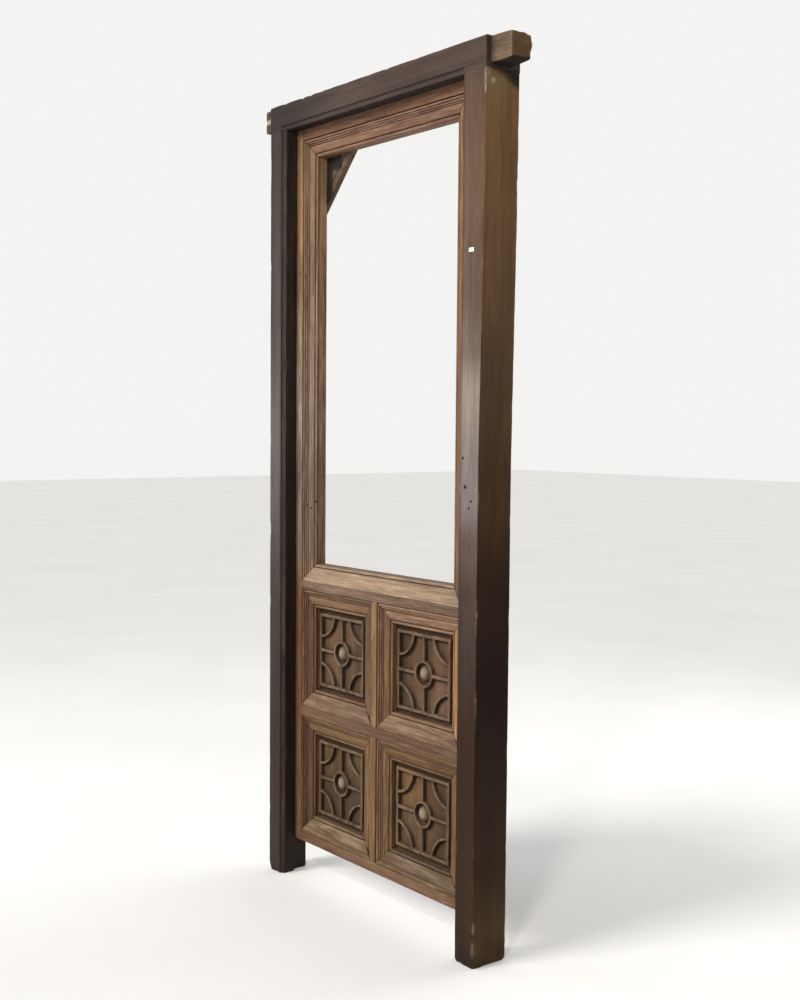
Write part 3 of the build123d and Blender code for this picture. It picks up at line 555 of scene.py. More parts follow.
def jamb_attr(seed, inner, scuffs=(), painted_horn_shadow=False):
    def dirt(T, A, B, at):
        d = at["dirt"].reshape(T.shape)
        low = np.clip(1 - T / 120.0, 0, 1) * (0.55 + 0.35 * noise(T / 30.0, A / 25.0, B / 25.0, seed))
        d = np.maximum(d, low)
        if painted_horn_shadow:
            # painted shadow cast by the horn, on the outer face only
            line = 2519.0 - 0.46 * (B - 16.0) + 5.0 * noise(B / 22.0, 0 * B, 0, seed + 9)
            d = np.maximum(d, smooth(-9, 6, T - line) * (A > RIGHT_TOP - 3) * (B > 8) * 0.97)
        return d

    def wear(T, A, B, at):
        w = at["wear"].reshape(T.shape)
        # painted sheen along the sloping strip, carried in the wear attribute
        jamb_strip_sheen = (np.abs(np.abs(A - inner) - STRIP / 2) < 5.5) & (B > 3.2) & (B < STRIP - 0.5)
        w = np.maximum(w, jamb_strip_sheen * (0.5 + 0.3 * noise(T / 90.0, 0 * T, 0, seed + 2)))
        for st, sa, sb, lt, lab in scuffs:
            g = np.exp(-(((T - st) / lt) ** 2) - ((A - sa) ** 2 + (B - sb) ** 2) / lab ** 2)
            rough = smooth(-0.25, 0.35, fbm(T / 9.0, A / 3.0 + B / 3.0, 0 * T, seed + 6, 3))
            w = np.maximum(w, 1.3 * g * rough)
        return w

    def scuff(T, A, B, at):
        w = np.zeros(T.shape)
        for st, sa, sb, lt, lab in scuffs:
            g = np.exp(-(((T - st) / lt) ** 2) - ((A - sa) ** 2 + (B - sb) ** 2) / lab ** 2)
            w = np.maximum(w, smooth(0.3, 0.55, g * (0.62 if sb > 5 else 1.0) * (0.95 + 0.8 * fbm(T / 6.0, A / 2.5 + B / 2.5, 0 * T, seed + 6, 4))))
        return w

    return {"dirt": dirt, "wear": wear, "scuff": scuff}


left = timber("jamb_left", jamb_section(-HALF_W, LEFT_IN), [3.0, 1.2, 1.0, 2.0, 2.5, 1.5, 2.5, 3.5], jamb_t(5), "Z", 101, wear=0.8, wave=0.45,
              trim=foot((-HALF_W, 1, 17, 36), 5.0, 3), attr=jamb_attr(8, LEFT_IN),
              chips=[(1180, -HALF_W, 0, 26, 2.5), (1740, LEFT_IN, STRIP, 16, 3), (420, LEFT_IN, STRIP, 24, 3), (2070, -HALF_W, 0, 14, 2)])
put(left, left_mat)
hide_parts("left_jamb")
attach(left, "frame")

end_grain = foot(None, 7.0, 9)


def right_trim(T, A, B):
    """The right jamb's outer face is hewn back below its top."""
    T, A, B = end_grain(T, A, B)
    back = (RIGHT_TOP - RIGHT_OUT) * (1 - np.clip((T - TAPER0) / (TAPER1 - TAPER0), 0, 1))
    return T, A - back * np.clip((A - (RIGHT_TOP - 45)) / 38, 0, 1), B


right_ob = timber("jamb_right", jamb_section(RIGHT_TOP, RIGHT_IN, RIGHT_D), [3.5, 1.2, 1.0, 2.0, 2.5, 1.5, 2.5, 3.5], jamb_t(6), "Z", 202, wear=1.0, wave=0.5,
                  trim=right_trim, attr=jamb_attr(18, RIGHT_IN, [(2494, RIGHT_TOP, 0, 18, 4), (2458, RIGHT_TOP, 0, 10, 3.5), (2480, RIGHT_TOP, 26, 13, 11), (2497, RIGHT_TOP, 13, 9, 6), (1010, RIGHT_TOP, 0, 9, 3), (118, RIGHT_TOP, 0, 10, 4), (60, RIGHT_TOP, 0, 9, 4)], True),
                  chips=[(2488, RIGHT_TOP, 0, 30, 3.0), (118, RIGHT_TOP, 0, 14, 3), (58, RIGHT_TOP, 0, 22, 4), (1370, RIGHT_IN + STRIP, 0, 14, 2), (1010, RIGHT_TOP, 0, 9, 2),
                         (1890, RIGHT_TOP, 0, 9, 1.5), (2210, RIGHT_TOP, RIGHT_D, 16, 2)])
put(right_ob, right_mat)
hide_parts("right_jamb")
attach(right_ob, "frame")


# head beam: its front and underside change along its length
def head_beam():
    zlow = [HEAD_BOT + v for v in (0.0, 3.0, 6.0, 9.0, STRIP - QUIRK, STRIP - 0.6, STRIP)]
    front = [(0.0, z) for z in zlow] + [(0.0, z) for z in np.linspace(HEAD_BOT + STRIP + 4, H - 3, 13)] + [(0.8, H - 0.8), (3.0, H)]
    top = [(y, H) for y in np.linspace(10, D - 10, 14)] + [(D - 3, H), (D - 0.8, H - 0.8)]
    back = [(D, z) for z in np.linspace(H - 3, HEAD_BOT + REB_W + 4, 10)] + [(D, HEAD_BOT + REB_W + 0.01)]
    under = [(y, HEAD_BOT + REB_W) for y in np.linspace(D - 8, REB_Y + 1, 8)] + [(REB_Y, HEAD_BOT + REB_W), (REB_Y, HEAD_BOT + 9), (REB_Y, HEAD_BOT + 0.4)]
    fore = [(y, HEAD_BOT) for y in np.linspace(REB_Y - 4, STRIP + 3, 7)] + [(STRIP, HEAD_BOT)]
    sec = np.array(front + top + back + under + fore)
    n = len(sec)
    kinds = np.array([0] * len(front) + [1] * len(top) + [2] * len(back) + [3] * len(under) + [4] * len(fore))
    x0, x1 = LEFT_IN - STRIP, RIGHT_IN + STRIP
    r0, r1 = LEFT_IN - REB_W, RIGHT_IN + REB_W
    xs = np.unique(np.concatenate([np.arange(-HALF_W + 8, RIGHT_TOP - 4, 8.0), [-HALF_W, -HALF_W + 1, -HALF_W + 3, RIGHT_TOP - 3, RIGHT_TOP - 1, RIGHT_TOP],
                                   np.linspace(x0, LEFT_IN, 7), np.linspace(RIGHT_IN, x1, 7), [r0 - 0.05, r0, r1, r1 + 0.05]]))
    m = len(xs)
    X = np.repeat(xs[:, None], n, 1)
    Y = np.repeat(sec[None, :, 0], m, 0)
    Z = np.repeat(sec[None, :, 1], m, 0)
    K = np.repeat(kinds[None], m, 0)
    # strip under the front, mitred with those of the jambs
    inx = np.minimum(X - x0, x1 - X)
    inz = HEAD_BOT + STRIP - Z
    depth = np.minimum(inx, inz)
    cut = np.where(depth <= 0, 0.0, np.where(depth < QUIRK, depth / QUIRK * STEP, STEP + (depth - QUIRK) / (STRIP - QUIRK) * (STRIP - STEP)))
    low = (K == 0) & (Z < HEAD_BOT + STRIP + 0.1)
    Y = np.where(low, cut, Y)
    # underside over the jambs has no rebate
    solid = (X < r0) | (X > r1)
    Z = np.where(solid & (K == 3), HEAD_BOT, Z)
    Z = np.where(solid & (K == 2) & (Z < HEAD_BOT + REB_W + 0.1), HEAD_BOT, Z)
    # over the right jamb the head is as deep as the jamb
    Y = Y + (RIGHT_D - D) * np.where(X > r1 + 0.02, np.clip((Y - 70.0) / (D - 70.0), 0, 1), 0.0)
    # wear
    rear = np.where(X > r1 + 0.02, RIGHT_D, D)
    e_top = np.exp(-(((Y - 0) ** 2 + (Z - H) ** 2) / 36.0)) + np.exp(-(((Y - rear) ** 2 + (Z - H) ** 2) / 36.0))
    e_end = np.exp(-(np.minimum(X + HALF_W, RIGHT_TOP - X) / 5.0) ** 2)
    edge = np.clip(e_top + 0.6 * e_end, 0, 1)
    worn = smooth(0.3, 0.95, 0.5 + 0.5 * fbm(X / 50.0, Y / 40.0, Z / 40.0, 77, 3))
    offz = np.zeros_like(X)
    topm = np.clip((Z - (H - 12)) / 12, 0, 1)
    offz += topm * (0.2 + 0.6 * (0.5 + 0.5 * fbm(X / 240.0, Y / 50.0, 0, 78)))
    offz += topm * e_top * worn ** 2 * 1.3
    nick = np.zeros_like(X)
    for nx, w, dpt in ((-352, 7, 4.5), (-305, 9, 3.0), (92, 8, 2.4), (-452, 9, 2.0)):
        nick = np.maximum(nick, dpt * np.exp(-((X - nx) / w) ** 2) * np.exp(-((Y / 22.0) ** 2)) * topm)
    Z = Z - offz - nick
    fr = ((K == 0) & (Z > HEAD_BOT + STRIP)) | (K == 4)
    Y = Y + np.where(K == 0, (0.25 + 0.35 * (0.5 + 0.5 * fbm(X / 160.0, Z / 30.0, 0, 79))) * (Z > HEAD_BOT + STRIP - 0.5) + 0.8 * e_top * worn, 0)
    Y = Y - np.where(K == 2, 0.3 + 0.4 * (0.5 + 0.5 * fbm(X / 160.0, Z / 30.0, 0, 80)), 0)
    quirk = np.exp(-((Z - (HEAD_BOT + STRIP - QUIRK)) / 2.0) ** 2) * (K == 0) * (inx > -1)
    # painted sheen along the sloping strip, carried in the wear attribute
    head_strip_sheen = np.exp(-((Z - (HEAD_BOT + STRIP / 2)) / 5.0) ** 2) * (K == 0) * (inx > 2)
    V = np.stack([X.ravel(), Y.ravel(), Z.ravel()], 1)
    faces = grid_faces(n, m, True, flip=True)
    faces.append(list(range(n)))
    faces.append(list(range((m - 1) * n, m * n))[::-1])
    # underside and rebate faces painted darker: painted shade under the beam; the quirk line is also darker
    under_shade = ((K >= 3)).astype(float) * 0.75
    at = {"wear": np.clip(0.7 * edge * worn + nick / 3 + 0.75 * head_strip_sheen, 0, 1).ravel(), "dirt": np.clip(quirk * 0.9 + under_shade, 0, 1).ravel()}
    return add_mesh("head_beam_timber", V, faces, at, sharp=38)


head = head_beam()
put(head, head_mat)
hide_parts("head_beam")
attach(head, "frame")


def horn(name, xa, xb, seed, notch=None, round_end=7.0, taper=0.0, sag=0.0, mat=None):
    """A reduced end of the beam, from xa inside the beam to xb, its arrises and end rounded by wear."""
    s = 1 if xb > xa else -1
    sec = [(16.0, 2524.0), (102.0, 2524.0), (102.0, 2600.0), (16.0, 2600.0)]
    P, N, dc, dv = round_section(sec, [5.0, 6.0, 7.0, 5.5], 3.0)
    n = len(P)
    length = abs(xb - xa)
    ts = np.concatenate([np.arange(0, length - 14, 3.0), length - 14 + 14 * np.sin(np.linspace(0, math.pi / 2, 12))])
    cy, cz = 59.0, 2562.0
    rings, W, G = [], [], []
    for t in ts:
        over = np.clip((t - (length - 14)) / 14, 0, 1)
        shrink = round_end * (1 - math.sqrt(max(0.0, 1 - over ** 2)))
        a = P[:, 0] - N[:, 0] * shrink
        b = P[:, 1] - N[:, 1] * shrink
        off = 0.1 + 0.7 * (0.5 + 0.5 * fbm(t / 25.0 + 0 * a, a / 18.0, b / 18.0, seed)) + np.exp(-(dc / 6.0) ** 2) * 1.0 * (0.5 + 0.5 * noise(t / 18.0 + 0 * a, a / 20.0, b / 20.0, seed + 2))
        a = a - N[:, 0] * off
        b = b - N[:, 1] * off
        # the back and the underside fall away towards the end
        k = np.clip(t / length, 0, 1)
        a = 16 + (a - 16) * (1 - taper * (0.35 + 0.65 * k) * np.clip((2600 - b) / 76.0, 0, 1) ** 1.3)
        b = b + sag * k * np.clip((2600 - b) / 76.0, 0, 1) * np.clip((a - 16) / 86.0, 0, 1)
        if sag:
            far = np.clip((a - 70.0) / 32.0, 0, 1) * np.clip((b - 2570.0) / 30.0, 0, 1)
            a = a - 9.0 * far * k
            b = b - 5.0 * far * k - 3.5 * k * np.clip((b - 2590.0) / 10.0, 0, 1) * (0.5 + 0.5 * noise(a / 16.0, 0 * a, 0, seed + 8))
            a = a + 2.2 * k * noise(b / 19.0, t / 40.0 + 0 * b, 0, seed + 9) * np.clip((a - 60.0) / 20.0, 0, 1) - 2.2 * k * np.clip((a - 60.0) / 20.0, 0, 1)
        x = xa + s * t + 0 * a
        if notch is not None:
            zn, wide, deep = notch
            bite = deep * np.clip(1 - np.abs(b - zn - 2.0 * noise(a / 9.0, 0 * a, 0, seed)) / wide, 0, 1)
            x = np.where(s * (x - (xb - s * bite)) > 0, xb - s * bite, x)
        rings.append(np.stack([x, a, b], 1))
        W.append(np.clip(np.exp(-(dc / 5.0) ** 2) * 0.6 + 0.2 * over, 0, 1))
        # painted shade on the horn's underside and along its root at the beam
        G.append(np.clip(-N[:, 1] * 1.1, 0, 1) + 0.95 * np.clip(1 - t / 40.0, 0, 1) ** 1.5)
    # the end face closes in a few smaller rings, so that the notch and the end grain have shape
    last = rings[-1]
    c0 = last.mean(0)
    for k in (0.82, 0.62, 0.4, 0.18):
        q = c0 + (last - c0) * k
        rough = 1.1 * noise(q[:, 1] / 7.0, q[:, 2] / 7.0, 0, seed + 4)
        x = xb - s * (0.6 + np.abs(rough)) + 0 * q[:, 0]
        if notch is not None:
            zn, wide, deep = notch
            bite = deep * np.clip(1 - np.abs(q[:, 2] - zn - 2.0 * noise(q[:, 1] / 9.0, 0, 0, seed)) / wide, 0, 1)
            x = np.where(bite > 0, xb - s * np.maximum(bite, 0.6), x)
        rings.append(np.stack([x, q[:, 1], q[:, 2]], 1))
        W.append(np.full(n, 0.1))
        G.append(np.full(n, 0.3))
    V = np.concatenate(rings)
    m = len(rings)
    faces = grid_faces(n, m, True, flip=(s < 0))
    a, b = list(range(n)), list(range((m - 1) * n, m * n))
    faces.append(a[::-1] if s > 0 else a)
    faces.append(b if s > 0 else b[::-1])
    ob = add_mesh(name, V, faces, {"wear": np.concatenate(W), "dirt": np.clip(np.concatenate(G), 0, 1)}, sharp=50)
    put(ob, mat)
    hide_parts("head_beam")
    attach(ob, "frame")
    return ob


horn_r = horn("head_horn_right", RIGHT_TOP - 6, 611.0, 303, round_end=3.0, taper=0.13, sag=5.0, mat=horn_mat)
left_horn_mat = wood("left_horn_wood", "X", 43, (0.03, 0.022, 0.016), (0.055, 0.04, 0.03), (0.11, 0.085, 0.065), (0.3, 0.22, 0.14), (0.012, 0.009, 0.007), rough=(0.6, 0.85), spec=0.25,
                     tint=lambda M, c: M.mix(M.mapr(M.math("ABSOLUTE", M.math("SUBTRACT", M.split()[2], 2.5615)), 0.004, 0.011, 0.85, 0.0), c, lin(0.36, 0.27, 0.17)))
horn_l = horn("head_horn_left", -HALF_W + 6, -596.0, 404, notch=(2561.5, 9.5, 13.0), round_end=7.0, mat=left_horn_mat)


# ------------------------------------------------------------------ mouldings
def moulding_strip(name, node, corner, inward, along, length, seed, mat, section):
    """One mitred strip: the moulded section along its length, worn on its raised lines."""
    sec = np.array(section)
    pts = []
    for a, b in zip(sec[:-1], sec[1:]):
        L = np.linalg.norm(b - a)
        k = max(2, int(math.ceil(L / 1.25)))
        for t in np.linspace(0, 1, k + 1)[:-1]:
            pts.append(a + (b - a) * t)
    pts.append(sec[-1])
    P = np.array(pts)
    Q = P.copy()
    for _ in range(2):
        Q[1:-1] = 0.25 * Q[:-2] + 0.5 * Q[1:-1] + 0.25 * Q[2:]
    tan = np.gradient(Q, axis=0)
    nrm = np.stack([tan[:, 1], -tan[:, 0]], 1)
    nrm /= np.linalg.norm(nrm, axis=1)[:, None] + 1e-9
    # curvature: above zero on raised lines
    broad = np.array([np.interp(np.clip(Q[:, 0] + o, 0, 60), Q[:, 0], Q[:, 1]) for o in (-3.5, -2, -1, 1, 2, 3.5)]).mean(0)
    raised = np.clip((broad - Q[:, 1]) / 1.6, 0, 1)
    sunk = np.clip((Q[:, 1] - broad) / 1.6, 0, 1)
    back = np.array([(60.0, 23.0), (60.0, MT), (45.0, MT), (30.0, MT), (15.0, MT), (0.0, MT), (0.0, 12.0)])
    S = np.concatenate([Q, back])
    raised = np.concatenate([raised, np.zeros(len(back))])
    sunk = np.concatenate([sunk, np.zeros(len(back))])
    nrm = np.concatenate([nrm, np.zeros((len(back), 2))])
    n = len(S)
    m = max(12, int(length / 7.0))
    u = np.linspace(0, 1, m)
    inset = np.clip(S[:, 0], 0, 60)
    T = inset[None, :] + 0.12 + (length - 2 * inset[None, :] - 0.24) * u[:, None]
    SS = np.repeat(S[None, :, 0], m, 0)
    DD = np.repeat(S[None, :, 1], m, 0)
    R, K = np.repeat(raised[None], m, 0), np.repeat(sunk[None], m, 0)
    NA, NB = np.repeat(nrm[None, :, 0], m, 0), np.repeat(nrm[None, :, 1], m, 0)
    front = np.repeat((np.arange(n) < len(Q))[None], m, 0)
    worn = smooth(0.35, 0.9, 0.5 + 0.5 * fbm(T / 30.0, SS / 9.0, 0, seed, 3))
    nick = smooth(0.62, 0.95, 0.5 + 0.5 * noise(T / 7.0, SS / 5.0, 3.3, seed + 9))
    off = 0.15 + 0.25 * (0.5 + 0.5 * fbm(T / 90.0, SS / 20.0, 0, seed + 1)) + R * (0.9 * worn ** 2 + 1.1 * nick)
    if section is SILL:
        gouge = smooth(0.45, 0.9, noise(T / 60.0, SS / 4.5, 5.5, seed + 21))
        off = off + 0.9 * gouge * (SS > 3) * (SS < 47) + 0.8 * np.exp(-((SS - 3) / 3.5) ** 2) * worn
    off = np.where(front, off, 0.0)
    fade = np.clip(np.minimum(SS, 60 - SS) / 1.5, 0, 1)
    SS2 = SS + NA * off * 0.5 * fade * -1
    DD2 = DD + np.abs(NB) * off
    SS2 = np.clip(SS2, 0.05, 59.95)
    start = np.array([corner[0], FLAT_Y, corner[1]])
    iv, av = np.array(inward, float), np.array(along, float)
    V = start + SS2[..., None] * iv + DD2[..., None] * np.array([0, 1.0, 0]) + T[..., None] * av
    V = V.reshape(-1, 3)
    faces = grid_faces(n, m, True, flip=True)
    faces.append(list(range(n)))
    faces.append(list(range((m - 1) * n, m * n))[::-1])
    endd = np.exp(-(np.minimum(T - inset[None, :], (length - inset[None, :]) - T) / 2.5) ** 2)
    wearv = R * (0.15 + 0.6 * worn) + 0.3 * nick * R
    # darker in the hollows, at the mitres and along the outer edge: dirt and painted shade
    dirt_shade_v = K * 1.25 + 0.5 * endd
    if section is SILL:
        wearv = wearv + 0.4 * smooth(0.35, 0.75, 0.5 + 0.5 * fbm(T / 130.0, SS / 7.0, 2.2, seed + 4)) * (SS < 47)
        dirt_shade_v = dirt_shade_v + 0.75 * np.exp(-((SS + 0.2) / 1.0) ** 2)
    else:
        dirt_shade_v = dirt_shade_v + 0.6 * np.exp(-(SS / 2.5) ** 2)
    at = {"wear": np.clip(wearv, 0, 1).ravel(), "dirt": np.clip(dirt_shade_v, 0, 1).ravel()}
    ob = add_mesh(name, V, faces, at, sharp=50)
    put(ob, mat)
    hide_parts(node)
    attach(ob, "leaf")
    return ob


LEFT_HOLES = [(-443, 2046, 3.5), (-419, 2036, 3.5), (-451, 1374, 3), (-445, 1361, 3), (-408, 1271, 4), (-390, 1260, 4), (-373, 1282, 4)]


def left_tint(M, c):
    """The left stile and its moulding are warmer and yellower near the top, paler and greyer in the middle: a painted
    sheen there.
    """
    return by_height(M, c, [(0.1, (0.85, 0.85, 0.85)), (0.9, (0.9, 0.9, 0.9)), (1.25, (0.92, 1.05, 1.28)), (1.62, (1.36, 1.65, 2.1)), (2.1, (1.16, 1.27, 1.32)), (2.5, (1.05, 1.08, 1.02))])


def inner_tint(M, c):
    """The same, but the narrow face that looks into the light keeps its dark brown."""
    sn = own_normal(M)
    return M.mix(M.mapr(sn.outputs[0], 0.72, 0.9), left_tint(M, c), M.mix(1.0, c, lin(0.85, 0.82, 0.76), "MULTIPLY"))


TONES = {
    ("light", "left"): dict(tone=(1.05, 1.0, 0.98), holes=LEFT_HOLES, tint=inner_tint),
    ("light", "right"): dict(tone=(0.95, 0.82, 0.68)),
    ("light", "top"): dict(tone=(0.92, 0.82, 0.86)),
    # the sill strip is toned paler: painted highlight on its up-facing slope
    ("light", "bottom"): dict(tone=(1.27, 1.46, 1.66)),
    ("upper_left", "top"): dict(tone=(0.8, 0.75, 0.68)),
    ("upper_left", "left"): dict(tone=(0.58, 0.44, 0.37)),
    ("upper_left", "right"): dict(tone=(0.86, 0.84, 0.7)),
    ("upper_left", "bottom"): dict(tone=(0.8, 0.78, 0.7)),
    ("upper_right", "top"): dict(tone=(1.58, 1.58, 1.65)),
    ("upper_right", "left"): dict(tone=(0.85, 0.8, 0.62)),
    # this strip is toned brighter: painted light on its face turned to the left
    ("upper_right", "right"): dict(tone=(1.5, 1.28, 0.9)),
    ("upper_right", "bottom"): dict(tone=(0.92, 0.9, 0.86)),
    ("lower_left", "top"): dict(tone=(0.88, 0.84, 0.56)),
    ("lower_left", "left"): dict(tone=(0.46, 0.36, 0.28)),
    ("lower_left", "right"): dict(tone=(0.8, 0.75, 0.6)),
    ("lower_left", "bottom"): dict(tone=(0.75, 0.8, 0.66)),
    ("lower_right", "top"): dict(tone=(0.64, 0.55, 0.35)),
    ("lower_right", "left"): dict(tone=(0.8, 0.75, 0.6)),
    ("lower_right", "right"): dict(tone=(0.85, 0.68, 0.42)),
    ("lower_right", "bottom"): dict(tone=(0.41, 0.4, 0.34)),
}
seed = 500
for place, (x0, x1, z0, z1) in {"light": LIGHT, **PANELS}.items():
    xa, xb, zc, zd = x0 - MW, x1 + MW, z0 - MW, z1 + MW
    for side, (corner, inward, along, length) in {
        "left": ((xa, zc), (1, 0, 0), (0, 0, 1), zd - zc),
        "right": ((xb, zd), (-1, 0, 0), (0, 0, -1), zd - zc),
        "bottom": ((xb, zc), (0, 0, 1), (-1, 0, 0), xb - xa),
        "top": ((xa, zd), (0, 0, -1), (1, 0, 0), xb - xa),
    }.items():
        seed += 7
        kw = TONES[(place, side)]
        mat = leaf_wood(f"{place}_{side}_wood", "Z" if side in ("left", "right") else "X", seed, bump=0.4, **kw)
        moulding_strip(f"{place}_strip_{side}", f"{place}_moulding_{side}", corner, inward, along, length, seed, mat, SILL if side == "bottom" else SECTION)


# ------------------------------------------------------------------ carved panels
RIM_Y, GROUND_Y, MARGIN_Y, MARGIN, RIM_W, RIB_W = 80.0, 95.0, 92.2, 15.0, 11.0, 12.0
RING_O, RING_I, BOSS_R, ARC_O, ARC_I = 43.0, 33.0, 24.0, 84.0, 74.5


def bar(d, half, soft=0.9):
    """1 inside a band of that half width, falling to 0 over the soft edge."""
    return 1 - smooth(half - soft * 0.4, half + soft, np.abs(d))


def carved_panel(place, rect, seed, mat):
    x0, x1, z0, z1 = rect
    cx, cz = (x0 + x1) / 2, (z0 + z1) / 2
    w, h = (x1 - x0) / 2 - MARGIN, (z1 - z0) / 2 - MARGIN
    step = 1.22
    edge = 6.0
    xs = np.linspace(x0 - edge, x1 + edge, int((x1 - x0 + 2 * edge) / step))
    zs = np.linspace(z0 - edge, z1 + edge, int((z1 - z0 + 2 * edge) / step))
    X, Z = np.meshgrid(xs, zs, indexing="ij")
    wob = 1.1 * noise((X - cx) / 26.0, (Z - cz) / 26.0, 0, seed)
    wob2 = 1.1 * noise((X - cx) / 26.0, (Z - cz) / 26.0, 7.7, seed + 1)
    U, W = X - cx + wob, Z - cz + wob2
    # how far inside the block, its rim and its features each point is
    block = (1 - smooth(w - 0.5, w + 1.4, np.abs(U))) * (1 - smooth(h - 0.5, h + 1.4, np.abs(W)))
    rim = np.maximum(smooth(w - RIM_W - 1.4, w - RIM_W + 0.4, np.abs(U)), smooth(h - RIM_W - 1.4, h - RIM_W + 0.4, np.abs(W)))
    rad = np.hypot(U, W)
    ring = bar(rad - (RING_O + RING_I) / 2, (RING_O - RING_I) / 2)
    outside = smooth(RING_I - 1, RING_I + 2, rad)
    ribs = np.maximum(bar(U, RIB_W / 2), bar(W, RIB_W / 2)) * outside
    arcs = 0.0
    qr = 1e9
    for sx in (-1, 1):
        for sz in (-1, 1):
            r = np.hypot(U - sx * w, W - sz * h)
            arcs = np.maximum(arcs, bar(r - (ARC_O + ARC_I) / 2, (ARC_O - ARC_I) / 2))
            qr = np.minimum(qr, np.abs(r - (ARC_O + ARC_I) / 2))
    # crowned tops: ribs, arcs and ring are a little rounded across
    crown = np.zeros_like(X)
    crown = np.maximum(crown, np.where(rim > 0.5, 0, 0))
    dtop = np.full_like(X, 9.0)
    dtop = np.minimum(dtop, np.where(outside > 0.5, np.minimum(np.abs(U), np.abs(W)), 9))
    dtop = np.minimum(dtop, qr)
    dtop = np.minimum(dtop, np.abs(rad - (RING_O + RING_I) / 2))
    round_off = 1.7 * np.clip(dtop / 5.0, 0, 1) ** 2.5
    feat = np.clip(np.maximum.reduce([rim, ring, ribs, arcs]), 0, 1)
    top = RIM_Y + 0.5 + round_off * (rim < 0.5)
    ground = GROUND_Y - 0.6 - 0.9 * (0.5 + 0.5 * fbm(X / 11.0, Z / 11.0, 0, seed + 5)) - 0.35 * noise(X / 4.0, Z / 13.0, 0, seed + 6)
    Y = ground + (top - ground) * feat
    # domed boss
    q = np.clip(rad / BOSS_R, 0, 1)
    dome = GROUND_Y - 1 - (GROUND_Y - 1 - (RIM_Y + 0.6)) * np.clip(1 - q ** 2.0, 0, 1) ** 0.55
    Y = np.where(rad < BOSS_R, np.minimum(Y, dome), Y)
    # margin round the block
    Ym = MARGIN_Y - 0.2 + 0 * X
    Y = Ym + (Y - Ym) * block
    Y = Y + 0.25 * np.abs(fbm(X / 35.0, Z / 35.0, 0, seed + 8)) * block
    # wear of the raised parts
    chipn = smooth(0.55, 0.95, 0.5 + 0.5 * noise(X / 6.0, Z / 6.0, 1.1, seed + 12))

    def blur(F, r):
        k = np.exp(-0.5 * (np.arange(-3 * r, 3 * r + 1) / r) ** 2)
        k /= k.sum()
        G = np.apply_along_axis(lambda v: np.convolve(np.pad(v, 3 * r, "edge"), k, "valid"), 0, F)
        return np.apply_along_axis(lambda v: np.convolve(np.pad(v, 3 * r, "edge"), k, "valid"), 1, G)

    B3, B8 = blur(Y, 3), blur(Y, 8)
    # painted shadow under the raised parts rather than over them; painted highlight on their upper edges
    B3s, B8s = np.roll(B3, -4, 1), np.roll(B8, -5, 1)
    wear_and_highlight = np.clip((B3 - Y) / 4.2, 0, 1) * 0.28 + np.clip((B3s - Y) / 4.0, 0, 1) * 0.45
    painted_shade = np.clip((Y - B3s) / 5.0, 0, 1) * 0.6 + np.clip((Y - B8s) / 10.0, 0, 1) * 0.35
    Y = Y + wear_and_highlight * chipn * 1.1 * block
    Y = blur(Y, 1) * 0.35 + Y * 0.65
    Y = np.maximum(Y, RIM_Y + 0.1)
    gx, gz = np.gradient(Y, xs[1] - xs[0], zs[1] - zs[0])
    slope = np.hypot(gx, gz) + 1e-6
    # steep walls, up-facing ones least, and the margin round the block, darkest at its left and top, are painted
    # darker: painted shade
    steep = np.clip((slope - 1.2) / 2.2, 0, 1) * (rad > BOSS_R + 1)
    facing = 0.84 - 0.6 * gz / slope
    side_gap = smooth(w, w + 2, -U) * 1.3 + smooth(w + 1, w + 3, U) * 0.75 + smooth(h, h + 2, W) * 1.1
    painted_shade = np.clip(painted_shade + steep * np.clip(facing, 0, 1) + (1 - block) * np.maximum(0.5, side_gap * 0.8), 0, 1)
    # the boss's centre is painted paler: painted highlight
    wear_and_highlight = wear_and_highlight * (1 - steep) * (rad > BOSS_R) + 0.9 * np.clip(1 - q * 1.1, 0, 1) * (rad <= BOSS_R)
    nx, nz = X.shape
    front = np.stack([X.ravel(), Y.ravel(), Z.ravel()], 1)
    idx = np.arange(nx * nz).reshape(nx, nz)
    quads = np.stack([idx[:-1, :-1], idx[1:, :-1], idx[1:, 1:], idx[:-1, 1:]], -1).reshape(-1, 4)
    faces = quads.tolist()
    # back: a flat field with a raised, chamfered centre
    bx = np.concatenate([[x0 - edge, x0 + 1], np.linspace(x0 + 13, x0 + 19, 3), np.linspace(x0 + 30, x1 - 30, 16), np.linspace(x1 - 19, x1 - 13, 3), [x1 - 1, x1 + edge]])
    bz = np.concatenate([[z0 - edge, z0 + 1], np.linspace(z0 + 13, z0 + 19, 3), np.linspace(z0 + 30, z1 - 30, 16), np.linspace(z1 - 19, z1 - 13, 3), [z1 - 1, z1 + edge]])
    BX, BZ = np.meshgrid(bx, bz, indexing="ij")
    ins = np.minimum(np.minimum(BX - x0, x1 - BX), np.minimum(BZ - z0, z1 - BZ))
    BY = 102.6 + 3.9 * np.clip((ins - 13) / 6.0, 0, 1) - 0.3 * np.abs(noise(BX / 40, BZ / 40, 0, seed))
    bv = np.stack([BX.ravel(), BY.ravel(), BZ.ravel()], 1)
    o = len(front)
    bi = np.arange(BX.size).reshape(BX.shape) + o
    bq = np.stack([bi[:-1, :-1], bi[:-1, 1:], bi[1:, 1:], bi[1:, :-1]], -1).reshape(-1, 4)
    faces += bq.tolist()

    def loop(I):
        return np.concatenate([I[:, 0], I[-1, 1:], I[-2::-1, -1], I[0, -2:0:-1]]).tolist()

    # close the edge with one strip of triangles between the two outlines
    V = np.concatenate([front, bv])
    A, Bl = loop(idx), loop(bi)

    def arc_len(L):
        P = V[L][:, [0, 2]]
        d = np.linalg.norm(np.roll(P, -1, 0) - P, axis=1)
        return np.concatenate([[0], np.cumsum(d)]) / d.sum()

